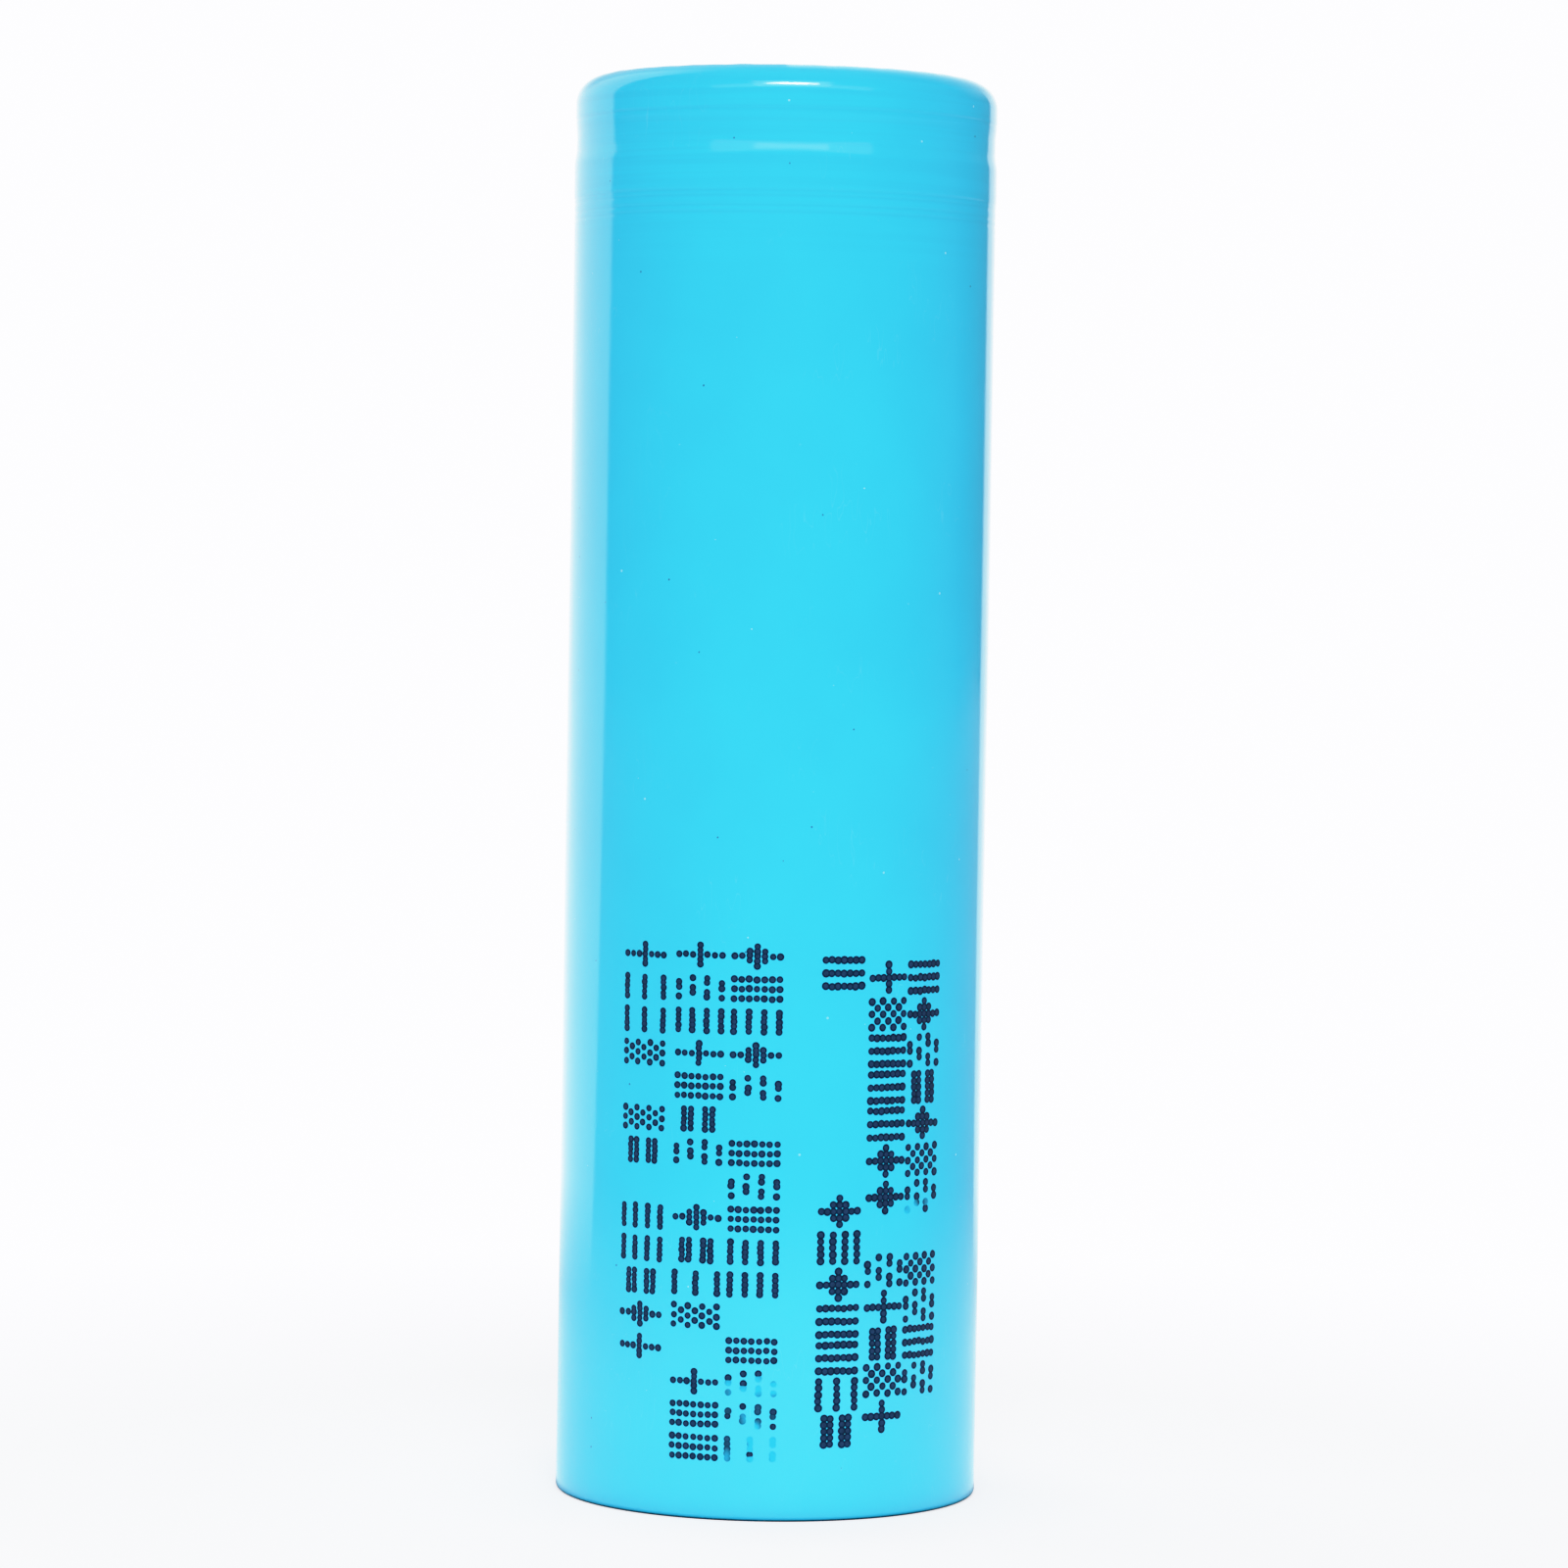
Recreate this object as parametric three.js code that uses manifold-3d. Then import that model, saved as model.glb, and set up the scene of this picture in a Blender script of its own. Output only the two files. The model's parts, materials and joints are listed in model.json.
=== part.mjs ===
// A cylindrical lithium-ion cell of the 21 mm by 70 mm size, in its heat-shrink sleeve, as the pieces it is
// assembled from. Millimetres, +Z up. The origin is the middle of the foot that the cell stands on, and the
// positive end is at the top.
import * as THREE from "three";
import { mergeVertices } from "three/addons/utils/BufferGeometryUtils.js";
import Module from "manifold-3d";

const wasm = await Module();
wasm.setup();

// ---------------------------------------------------------------- driving dimensions

const CELL_HEIGHT = 70.7; // over the sleeve
const CELL_RADIUS = 10.55; // over the sleeve
const GAP = 0.02; // between pieces that touch on the real cell

const TURNED_SIDES = 32; // facets round a turned piece
const QUARTER_STEPS = 2; // facets in a quarter turn of a rounded corner
const HOLE_SIDES = 10;
const CUT_PAST = 1; // how far a cutter runs past what it cuts
const SKIN = 0.01; // the same for a cutter that only opens one face

const SLEEVE_WALL = 0.11;
const SLEEVE_SHOULDER = 1.25; // outer radius where the sleeve turns over the top
const SLEEVE_FOOT = 0.3; // outer radius where it turns under the bottom
const SLEEVE_TOP_HOLE = 8.7; // radius left open at the top
const SLEEVE_FOOT_HOLE = 8.75; // radius left open at the bottom
const SLEEVE_SAG = 0.09; // how far the film sinks into the bead groove
const SLEEVE_SAG_PAST = 0.1; // the dip starts this far outside the groove
const SLEEVE_SAG_STATIONS = [-1, -0.55, -0.2, 0.2, 0.55, 1]; // shares of the dip's half height

const RING_THICK = 0.25; // paper ring over the crimp
const RING_HOLE = 6.3;
const RING_RADIUS = 9.3;

const CAN_WALL = 0.25;
const CAN_FLOOR = 0.35;
const CAN_FLOOR_CORNER = 0.5;
const CAN_CONTACT_RADIUS = 8.6; // the flat of the floor that the sleeve leaves bare
const CRIMP_CORNER = 0.95;
const CRIMP_LIP = 8.0; // inner radius of the rolled-in edge
const BEAD_FILLET = 0.35; // where the wall turns into the groove
const BEAD_FLANK = 0.4; // flat stretch of the groove's sides
const BEAD_BOTTOM = 0.45; // radius of the groove's bottom

const GASKET_LIP = 0.42; // thickness above and below the header
const GASKET_WALL = 0.6; // thickness round the header
const GASKET_TOP_HOLE = 7.6;
const GASKET_BOTTOM_HOLE = 8.2;
const GASKET_CHAMFER = 0.2;

const CAP_THICK = 0.45;
const CAP_RECESS = 0.15; // the contact face lies this far below the sleeve's rim
const CAP_FACE_RADIUS = 4.6;
const CAP_EDGE = 0.2; // rounding of the contact face's edge
const CAP_SKIRT_RADIUS = 5.9;
const CAP_SKIRT_WALL = 0.7; // measured along the radius
const CAP_WINDOWS = 4;
const CAP_WINDOW_WIDTH = 3.4;
const CAP_WINDOW_INSIDE = 3.4;
const CAP_WINDOW_REACH = 6.7;

const VENT_THICK = 0.25;
const VENT_LIP_HOLE = 8.4; // inner radius of the rim folded over the cap
const VENT_STEP_RADIUS = 7.3; // the disc steps down inside this
const VENT_STEP = 0.45;
const VENT_STEP_RUN = 0.5;
const VENT_STEP_INSET = 0.1; // the upper face turns this much nearer the axis
const SCORE_RADIUS = 4.9; // the ring where the disc is weakened
const SCORE_GAP = 0.05;
const SCORE_DEPTH = 0.15;
const FOOT_RADIUS = 0.95; // the diaphragm's foot, welded to the sub-plate
const FOOT_HOLLOW_RUN = 0.35; // how much wider the hollow over the foot is
const CONE_RADIUS = 2.4; // where the diaphragm starts down to its foot
const CONE_INSET = 0.2;

const CONTACT_THICK = 0.4;
const CONTACT_RADIUS = 6.3;
const CONTACT_HOLE = 1.9;
const CONTACT_GAS_HOLES = 6;
const CONTACT_GAS_HOLE_RADIUS = 0.55;
const CONTACT_GAS_HOLE_CIRCLE = 4.1;
const CID_THICK = 0.4; // the insulator between the vent disc and the contact disc
const CID_RADIUS = 6.85;
const CID_HOLE = 5.1;
const SUB_PLATE_RADIUS = 2.7;
const SUB_PLATE_THICK = 0.25;

const ROLL_BOTTOM = 1.0; // height of the roll's lower end above the foot
const ROLL_LENGTH = 64.5;
const ROLL_CORE = 1.75; // radius of the open core
const STEPS_PER_TURN = 16;
const FILM_THICK = 0.08;
const ANODE_THICK = 0.22;
const CATHODE_THICK = 0.21;
const LAYER_GAP = 0.025;
const ANODE_SHY = 0.7; // how far the anode stops short of the separators at each end
const CATHODE_SHY = 1.3;
// First and last step of each strip round the core, counted from the start of the winding.
const INNER_FILM_STEPS = [0, 188];
const OUTER_FILM_STEPS = [2, 181];
const ANODE_STEPS = [6, 180];
const CATHODE_STEPS = [13, 163];

const PIN_RADIUS = 1.5;
const PIN_WALL = 0.25;
const PIN_FACETS = 15; // of STEPS_PER_TURN, which leaves a slit along the pin
const PIN_SHY = 1.6; // how far the pin stops short of the roll at each end

const DISC_THICK = 0.3; // insulating discs above and below the roll
const DISC_RADIUS = 9.85;
const DISC_HOLE = 1.6;
const DISC_CLEAR = 0.05; // between a disc and the roll
const GAS_HOLES = 6; // in the upper disc
const GAS_HOLE_RADIUS = 0.7;
const GAS_HOLE_CIRCLE = 3.7;
const SLOT_CLEAR = 0.4; // round a tab where it passes a disc

const TAB_THICK = 0.1;
const TAB_BEND = 0.35; // corner cut where a tab turns towards the axis
const TAB_PAST_AXIS = 2.0; // each tab ends this far past the axis
const TAPE_THICK = 0.05;
const TAPE_REACH = 7; // length of a tab's tape over its electrode
const PATCH_PAST = 1; // how far an electrode is bare past the end of its tab or tape
const POSITIVE_TAB_STEPS = [87, 89]; // where the positive tab lies in the winding
const POSITIVE_TAB_START = 37; // height of its end inside the roll, above the roll's lower end
const NEGATIVE_TAB_STEPS = [176, 177];
const NEGATIVE_TAB_START = 25;

const ROLL_TAPE_HEIGHT = 14;
const ROLL_TAPE_FACETS = 28; // of TURNED_SIDES
const ROLL_TAPE_SHY = 2.5; // from the roll's end to the nearer edge of a tape

// ---------------------------------------------------------------- heights above the foot, from the top

const capFace = CELL_HEIGHT - CAP_RECESS;
const ringTop = CELL_HEIGHT - SLEEVE_WALL - GAP;
const ringBottom = ringTop - RING_THICK;
const crimpTop = ringBottom - GAP;
const gasketTop = crimpTop - CAN_WALL - GAP;
const gasketLipBottom = gasketTop - GASKET_LIP;
const ventLipTop = gasketLipBottom - GAP;
const ventLipBottom = ventLipTop - VENT_THICK;
const flangeTop = ventLipBottom - GAP;
const flangeBottom = flangeTop - CAP_THICK;
const ventRimTop = flangeBottom - GAP;
const ventRimBottom = ventRimTop - VENT_THICK;
const gasketFloor = ventRimBottom - GAP;
const gasketBottom = gasketFloor - GASKET_LIP;
const beadMiddle = gasketBottom - GAP - CAN_WALL - BEAD_BOTTOM;
const ventTop = ventRimTop - VENT_STEP;
const ventBottom = ventTop - VENT_THICK;
const cidTop = ventBottom - GAP;
const contactTop = cidTop - CID_THICK - GAP;
const contactBottom = contactTop - CONTACT_THICK;
const subPlateTop = contactBottom - GAP;
const subPlateBottom = subPlateTop - SUB_PLATE_THICK;
const footBottom = subPlateTop + GAP;

const canBottom = SLEEVE_WALL + GAP;

// ---------------------------------------------------------------- heights above the roll's lower end

const positiveTabTop = subPlateBottom - GAP - ROLL_BOTTOM;
const upperDiscBottom = ROLL_LENGTH + DISC_CLEAR;
const upperDiscTop = upperDiscBottom + DISC_THICK;
const cathodeTop = ROLL_LENGTH - CATHODE_SHY;
const anodeTop = ROLL_LENGTH - ANODE_SHY;
const lowerDiscTop = -DISC_CLEAR;
const lowerDiscBottom = lowerDiscTop - DISC_THICK;
const negativeTabBottom = canBottom + CAN_FLOOR + GAP - ROLL_BOTTOM;

// ---------------------------------------------------------------- radii, from the outside in

const canRadius = CELL_RADIUS - SLEEVE_WALL - GAP;
const canBore = canRadius - CAN_WALL;
const gasketRadius = canBore - GAP;
const gasketBore = gasketRadius - GASKET_WALL;
const ventRadius = gasketBore - GAP;
const flangeRadius = ventRadius - VENT_THICK - GAP;
const rollTapeRadius = canBore - GAP;

// ---------------------------------------------------------------- the winding, from the core out

const stepAngle = (2 * Math.PI) / STEPS_PER_TURN;
const anodeOffset = FILM_THICK + LAYER_GAP;
const outerFilmOffset = anodeOffset + ANODE_THICK + LAYER_GAP;
const cathodeOffset = outerFilmOffset + FILM_THICK + LAYER_GAP;
const windingPitch = cathodeOffset + CATHODE_THICK + LAYER_GAP;
const windowDepth = TAB_THICK + GAP; // of the bare patch that a tab lies in
const positiveTabOffset = cathodeOffset + CATHODE_THICK - TAB_THICK;
const negativeTabOffset = anodeOffset + ANODE_THICK - TAB_THICK;

// ---------------------------------------------------------------- materials

const metal = (color, roughness) => new THREE.MeshStandardMaterial({ color, roughness, metalness: 1 });
const plain = (color, roughness) => new THREE.MeshStandardMaterial({ color, roughness, metalness: 0 });

const sleeveFilm = plain(0x35d3f2, 0.22);
const paper = plain(0xf1efe8, 0.9);
const nickelSteel = metal(0xc9c6bf, 0.28);
const aluminium = metal(0xd6d8da, 0.35);
const nickel = metal(0xbdbab2, 0.3);
const gasketPlastic = plain(0xdfe6ea, 0.5);
const discPlastic = plain(0x2f6f4a, 0.6);
const separatorFilm = plain(0xf6f7f8, 0.6);
const cathodeCoat = plain(0x2b2b2e, 0.85);
const anodeCoat = plain(0x1d1c1d, 0.9);
const polyimideTape = plain(0xc98a1e, 0.35);
const rollTapeFilm = plain(0x3f7fb5, 0.4);

// ---------------------------------------------------------------- shape tools

// A closed outline in the half plane of radius and height, made of straight lines and arcs.
class Outline {
  constructor(radius, height) {
    this.points = [new THREE.Vector2(radius, height)];
  }

  to(radius, height) {
    this.points.push(new THREE.Vector2(radius, height));
    return this;
  }

  // An arc about a centre, between two angles in degrees: 0 points outwards and 90 points up.
  arc(centreRadius, centreHeight, size, fromDeg, toDeg) {
    const steps = Math.ceil((Math.abs(toDeg - fromDeg) / 90) * QUARTER_STEPS);
    for (let i = 0; i <= steps; i++) {
      const angle = THREE.MathUtils.degToRad(fromDeg + ((toDeg - fromDeg) * i) / steps);
      this.to(centreRadius + size * Math.cos(angle), centreHeight + size * Math.sin(angle));
    }
    return this;
  }

  along(other) {
    this.points.push(...other.points);
    return this;
  }

  backAlong(other) {
    this.points.push(...[...other.points].reverse());
    return this;
  }

  // The points in counter-clockwise order.
  loop() {
    return THREE.ShapeUtils.isClockWise(this.points) ? [...this.points].reverse() : [...this.points];
  }
}

const rectangle = (inner, outer, bottom, top) =>
  new Outline(inner, bottom).to(outer, bottom).to(outer, top).to(inner, top);

// The body that an outline sweeps as it turns once round the axis.
function turned(outline) {
  const points = outline.loop();
  points.push(points[0].clone());
  return new THREE.LatheGeometry(points, TURNED_SIDES).rotateX(Math.PI / 2);
}

// A plate with the shape's outline, from height 0 up.
const plate = (shape, depth) => new THREE.ExtrudeGeometry(shape, { depth, bevelEnabled: false });

const polar = (radius, angle) => new THREE.Vector2(radius * Math.cos(angle), radius * Math.sin(angle));

// A strip that stands on edge at height 0 between two curves, each a function of the step.
function standingStrip(outerAt, innerAt, [firstStep, lastStep], height) {
  const steps = Array.from({ length: lastStep - firstStep + 1 }, (_, i) => firstStep + i);
  const outside = steps.map(outerAt);
  const inside = steps.map(innerAt).reverse();
  return plate(new THREE.Shape([...outside, ...inside]), height);
}

// A tube of a number of facets out of a full round, which leaves a gap along it.
function splitTube(inner, outer, facets, sides, height) {
  const outerAt = (step) => polar(outer, (step * 2 * Math.PI) / sides);
  const innerAt = (step) => polar(inner, (step * 2 * Math.PI) / sides);
  return standingStrip(outerAt, innerAt, [0, facets], height);
}

const windingRadius = (step) => ROLL_CORE + (windingPitch * step) / STEPS_PER_TURN;

// A strip wound round the core. Its inner face lies at an offset from the start of each turn's layers.
function wound(offset, thick, range, height) {
  const outerAt = (step) => polar(windingRadius(step) + offset + thick, step * stepAngle);
  const innerAt = (step) => polar(windingRadius(step) + offset, step * stepAngle);
  return standingStrip(outerAt, innerAt, range, height);
}

// A strap whose section lies in the plane of radius and height, turned to face an angle.
function strap(outline, halfWidth, angle) {
  const flat = plate(new THREE.Shape(outline.loop()), 2 * halfWidth);
  return flat.translate(0, 0, -halfWidth).rotateX(Math.PI / 2).rotateZ(angle);
}

// A box from one radius to another, in the direction of an angle, and from CUT_PAST below height 0.
function radialBox(inner, outer, width, top, angle) {
  const box = new THREE.BoxGeometry(outer - inner, width, top + CUT_PAST);
  return box.translate((inner + outer) / 2, 0, (top - CUT_PAST) / 2).rotateZ(angle);
}

// Round cutters in a ring about the axis, all the way through a plate that stands at height 0.
function ringOfHoles(count, radius, circle, thick) {
  return Array.from({ length: count }, (_, i) => {
    const centre = polar(circle, (i * 2 * Math.PI) / count);
    const cutter = new THREE.CylinderGeometry(radius, radius, thick + 2 * CUT_PAST, HOLE_SIDES);
    return cutter.rotateX(Math.PI / 2).translate(centre.x, centre.y, thick / 2);
  });
}

// ---------------------------------------------------------------- booleans

function solidOf(geometry) {
  const bare = geometry.clone();
  bare.deleteAttribute("normal");
  bare.deleteAttribute("uv");
  const merged = mergeVertices(bare, 1e-4);
  const vertProperties = new Float32Array(merged.getAttribute("position").array);
  const triVerts = new Uint32Array(merged.index.array);
  return new wasm.Manifold(new wasm.Mesh({ numProp: 3, vertProperties, triVerts }));
}

function geometryOf(solid) {
  const { vertProperties, triVerts } = solid.getMesh();
  const geometry = new THREE.BufferGeometry();
  geometry.setAttribute("position", new THREE.BufferAttribute(vertProperties, 3));
  geometry.setIndex(new THREE.BufferAttribute(triVerts, 1));
  geometry.computeVertexNormals();
  return geometry;
}

function cut(body, tools) {
  return geometryOf(tools.reduce((left, tool) => left.subtract(solidOf(tool)), solidOf(body)));
}

function joined(first, second) {
  return geometryOf(solidOf(first).add(solidOf(second)));
}

// ---------------------------------------------------------------- outside of the cell

// The sleeve's surface at a depth below its outside, from the hole in the foot to the hole in the top.
function sleeveFace(depth) {
  const face = new Outline(SLEEVE_FOOT_HOLE, depth);
  face.arc(CELL_RADIUS - SLEEVE_FOOT, SLEEVE_FOOT, SLEEVE_FOOT - depth, -90, 0);
  const reach = BEAD_BOTTOM + BEAD_FILLET + SLEEVE_SAG_PAST;
  for (const share of SLEEVE_SAG_STATIONS) {
    const sag = (SLEEVE_SAG * (1 + Math.cos(Math.PI * share))) / 2;
    face.to(CELL_RADIUS - depth - sag, beadMiddle + share * reach);
  }
  const shoulder = SLEEVE_SHOULDER - depth;
  face.arc(CELL_RADIUS - SLEEVE_SHOULDER, CELL_HEIGHT - SLEEVE_SHOULDER, shoulder, 0, 90);
  return face.to(SLEEVE_TOP_HOLE, CELL_HEIGHT - depth);
}

const sleeve = () => turned(sleeveFace(0).backAlong(sleeveFace(SLEEVE_WALL)));

const topInsulatingRing = () => turned(rectangle(RING_HOLE, RING_RADIUS, 0, RING_THICK));

// The can's surface at a depth below its outside, from the flat of the floor up to the edge of the lip.
function canFace(depth) {
  const corner = CAN_FLOOR_CORNER - depth;
  const turn = canRadius - BEAD_FILLET;
  const opening = BEAD_BOTTOM + BEAD_FILLET;
  const bead = beadMiddle - canBottom;
  const top = crimpTop - canBottom;
  const floor = depth > 0 ? CAN_FLOOR : 0;
  const face = new Outline(CAN_CONTACT_RADIUS, floor);
  face.arc(canRadius - CAN_FLOOR_CORNER, floor + corner, corner, -90, 0);
  face.arc(turn, bead - opening, BEAD_FILLET - depth, 0, 90);
  face.arc(turn - BEAD_FLANK, bead, BEAD_BOTTOM + depth, 270, 90);
  face.arc(turn, bead + opening, BEAD_FILLET - depth, -90, 0);
  face.arc(canRadius - CRIMP_CORNER, top - CRIMP_CORNER, CRIMP_CORNER - depth, 0, 90);
  return face.to(CRIMP_LIP, top - depth);
}

const can = () => turned(new Outline(0, 0).along(canFace(0)).backAlong(canFace(CAN_WALL)).to(0, CAN_FLOOR));

// ---------------------------------------------------------------- header

function gasket() {
  const height = gasketTop - gasketBottom;
  const rounding = CRIMP_CORNER - CAN_WALL - GAP;
  const outline = new Outline(GASKET_BOTTOM_HOLE, 0);
  outline.to(gasketRadius - GASKET_CHAMFER, 0).to(gasketRadius, GASKET_CHAMFER);
  outline.arc(gasketRadius - rounding, height - rounding, rounding, 0, 90);
  outline.to(GASKET_TOP_HOLE, height).to(GASKET_TOP_HOLE, height - GASKET_LIP);
  outline.to(gasketBore, height - GASKET_LIP).to(gasketBore, GASKET_LIP);
  return turned(outline.to(GASKET_BOTTOM_HOLE, GASKET_LIP));
}

function positiveCap() {
  const height = capFace - flangeBottom;
  const underFace = height - CAP_THICK;
  const outline = new Outline(0, underFace).to(CAP_FACE_RADIUS - CAP_SKIRT_WALL, underFace);
  outline.to(CAP_SKIRT_RADIUS - CAP_SKIRT_WALL, 0).to(flangeRadius, 0);
  outline.to(flangeRadius, CAP_THICK).to(CAP_SKIRT_RADIUS, CAP_THICK);
  outline.arc(CAP_FACE_RADIUS - CAP_EDGE, height - CAP_EDGE, CAP_EDGE, 0, 90).to(0, height);
  const windows = Array.from({ length: CAP_WINDOWS }, (_, i) => {
    const angle = ((i + 0.5) * 2 * Math.PI) / CAP_WINDOWS;
    return radialBox(CAP_WINDOW_INSIDE, CAP_WINDOW_REACH, CAP_WINDOW_WIDTH, underFace, angle);
  });
  return cut(turned(outline), windows);
}

// The vent disc outside its score line: a stepped disc with its rim folded up and over the cap's flange.
function ventDisc() {
  const inner = SCORE_RADIUS + SCORE_GAP;
  const stepEnd = VENT_STEP_RADIUS + VENT_STEP_RUN;
  const rimTop = VENT_STEP + VENT_THICK;
  const lipTop = ventLipTop - ventBottom;
  const outline = new Outline(inner, 0).to(VENT_STEP_RADIUS, 0);
  outline.to(stepEnd, VENT_STEP).to(ventRadius, VENT_STEP).to(ventRadius, lipTop);
  outline.to(VENT_LIP_HOLE, lipTop).to(VENT_LIP_HOLE, lipTop - VENT_THICK);
  outline.to(ventRadius - VENT_THICK, lipTop - VENT_THICK).to(ventRadius - VENT_THICK, rimTop);
  outline.to(stepEnd - VENT_STEP_INSET, rimTop).to(VENT_STEP_RADIUS - VENT_STEP_INSET, VENT_THICK);
  return turned(outline.to(inner + SCORE_DEPTH, VENT_THICK).to(inner, VENT_THICK - SCORE_DEPTH));
}

// The vent disc inside its score line, with the foot that reaches down through the contact disc.
function ventDiaphragm() {
  const bottom = ventBottom - footBottom;
  const top = bottom + VENT_THICK;
  const outline = new Outline(0, 0).to(FOOT_RADIUS, 0).to(CONE_RADIUS, bottom);
  outline.to(SCORE_RADIUS, bottom).to(SCORE_RADIUS, top - SCORE_DEPTH);
  outline.to(SCORE_RADIUS - SCORE_DEPTH, top).to(CONE_RADIUS + CONE_INSET, top);
  return turned(outline.to(FOOT_RADIUS + FOOT_HOLLOW_RUN, VENT_THICK).to(0, VENT_THICK));
}

// A ring between the two discs, with a skirt that holds the contact disc by its edge.
function cidInsulator() {
  const skirt = CONTACT_RADIUS + GAP;
  const ledge = CONTACT_THICK + GAP;
  const outline = new Outline(CID_HOLE, ledge).to(skirt, ledge).to(skirt, 0).to(CID_RADIUS, 0);
  return turned(outline.to(CID_RADIUS, ledge + CID_THICK).to(CID_HOLE, ledge + CID_THICK));
}

function contactDisc() {
  const disc = turned(rectangle(CONTACT_HOLE, CONTACT_RADIUS, 0, CONTACT_THICK));
  const sizes = [CONTACT_GAS_HOLES, CONTACT_GAS_HOLE_RADIUS, CONTACT_GAS_HOLE_CIRCLE];
  return cut(disc, ringOfHoles(...sizes, CONTACT_THICK));
}

const subPlate = () => turned(rectangle(0, SUB_PLATE_RADIUS, 0, SUB_PLATE_THICK));

// ---------------------------------------------------------------- roll

const innerSeparator = () => wound(0, FILM_THICK, INNER_FILM_STEPS, ROLL_LENGTH);
const outerSeparator = () => wound(outerFilmOffset, FILM_THICK, OUTER_FILM_STEPS, ROLL_LENGTH);

// A wound electrode with a bare patch where its tab lies, and notched right through where the tab's tape
// lies. The cutter function gives a cutter of a length, open at the end that the tab leaves by.
function electrode(offset, thick, range, height, covered, cutter) {
  const face = offset + thick - windowDepth;
  const bare = cutter(face, windowDepth + SKIN, covered + PATCH_PAST);
  const notch = cutter(offset - SKIN, thick, TAPE_REACH + PATCH_PAST);
  return cut(wound(offset, thick, range, height), [bare, notch]);
}

const oneStepPast = ([first, last]) => [first - 1, last + 1];

function cathode() {
  const height = cathodeTop - CATHODE_SHY;
  const covered = cathodeTop - POSITIVE_TAB_START;
  const cutter = (offset, depth, length) => {
    const strip = wound(offset, depth, oneStepPast(POSITIVE_TAB_STEPS), length + CUT_PAST);
    return strip.translate(0, 0, height - length);
  };
  return electrode(cathodeOffset, CATHODE_THICK, CATHODE_STEPS, height, covered, cutter);
}

function anode() {
  const height = anodeTop - ANODE_SHY;
  const covered = NEGATIVE_TAB_START - ANODE_SHY;
  const cutter = (offset, depth, length) => {
    const strip = wound(offset, depth, oneStepPast(NEGATIVE_TAB_STEPS), length + CUT_PAST);
    return strip.translate(0, 0, -CUT_PAST);
  };
  return electrode(anodeOffset, ANODE_THICK, ANODE_STEPS, height, covered, cutter);
}

// Where a tab leaves the roll: its direction from the axis, its distances from it, and half its width.
function exitOf([first, last], offset) {
  const radius = windingRadius((first + last) / 2) + offset;
  const halfSpan = ((last - first) * stepAngle) / 2;
  const angle = ((first + last) * stepAngle) / 2;
  return { angle, radius, flat: radius * Math.cos(halfSpan), halfWidth: radius * Math.sin(halfSpan) };
}

// The part of a tab outside the roll: up or down from one height, then across the axis at another.
function tabLead(steps, offset, start, end) {
  const { angle, flat, halfWidth } = exitOf(steps, offset);
  const way = Math.sign(end - start);
  const outline = new Outline(flat, start).to(flat + TAB_THICK, start);
  outline.to(flat + TAB_THICK, end - way * TAB_BEND).to(flat + TAB_THICK - TAB_BEND, end);
  outline.to(-TAB_PAST_AXIS, end).to(-TAB_PAST_AXIS, end - way * TAB_THICK);
  outline.to(flat - TAB_BEND + TAB_THICK / 2, end - way * TAB_THICK);
  outline.to(flat, end - way * (TAB_BEND + TAB_THICK / 2));
  return strap(outline, halfWidth, angle);
}

function positiveTab() {
  const inRoll = wound(positiveTabOffset, TAB_THICK, POSITIVE_TAB_STEPS, upperDiscTop - POSITIVE_TAB_START);
  const [start, end] = [upperDiscBottom - POSITIVE_TAB_START, positiveTabTop - POSITIVE_TAB_START];
  return joined(inRoll, tabLead(POSITIVE_TAB_STEPS, positiveTabOffset, start, end));
}

function negativeTab() {
  const length = NEGATIVE_TAB_START - lowerDiscBottom;
  const inRoll = wound(negativeTabOffset, TAB_THICK, NEGATIVE_TAB_STEPS, length);
  inRoll.translate(0, 0, lowerDiscBottom - negativeTabBottom);
  const start = lowerDiscTop - negativeTabBottom;
  return joined(inRoll, tabLead(NEGATIVE_TAB_STEPS, negativeTabOffset, start, 0));
}

const positiveTabTape = () =>
  wound(cathodeOffset, TAPE_THICK, POSITIVE_TAB_STEPS, TAPE_REACH + CATHODE_SHY);

const negativeTabTape = () =>
  wound(anodeOffset, TAPE_THICK, NEGATIVE_TAB_STEPS, TAPE_REACH + ANODE_SHY);

// An insulating disc with a slot for a tab, from just inside the tab out to a radius.
function slottedDisc({ angle, flat, halfWidth }, slotEnd) {
  const disc = turned(rectangle(DISC_HOLE, DISC_RADIUS, 0, DISC_THICK));
  const width = 2 * (halfWidth + SLOT_CLEAR);
  return cut(disc, [radialBox(flat - SLOT_CLEAR, slotEnd, width, DISC_THICK + CUT_PAST, angle)]);
}

function upperInsulator() {
  const exit = exitOf(POSITIVE_TAB_STEPS, positiveTabOffset);
  const disc = slottedDisc(exit, exit.radius + TAB_THICK + SLOT_CLEAR);
  return cut(disc, ringOfHoles(GAS_HOLES, GAS_HOLE_RADIUS, GAS_HOLE_CIRCLE, DISC_THICK));
}

const lowerInsulator = () =>
  slottedDisc(exitOf(NEGATIVE_TAB_STEPS, negativeTabOffset), DISC_RADIUS + CUT_PAST);

const centrePin = () =>
  splitTube(PIN_RADIUS - PIN_WALL, PIN_RADIUS, PIN_FACETS, STEPS_PER_TURN, ROLL_LENGTH - 2 * PIN_SHY);

const rollTape = () =>
  splitTube(rollTapeRadius - TAPE_THICK, rollTapeRadius, ROLL_TAPE_FACETS, TURNED_SIDES, ROLL_TAPE_HEIGHT);

// ---------------------------------------------------------------- assembly

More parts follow.
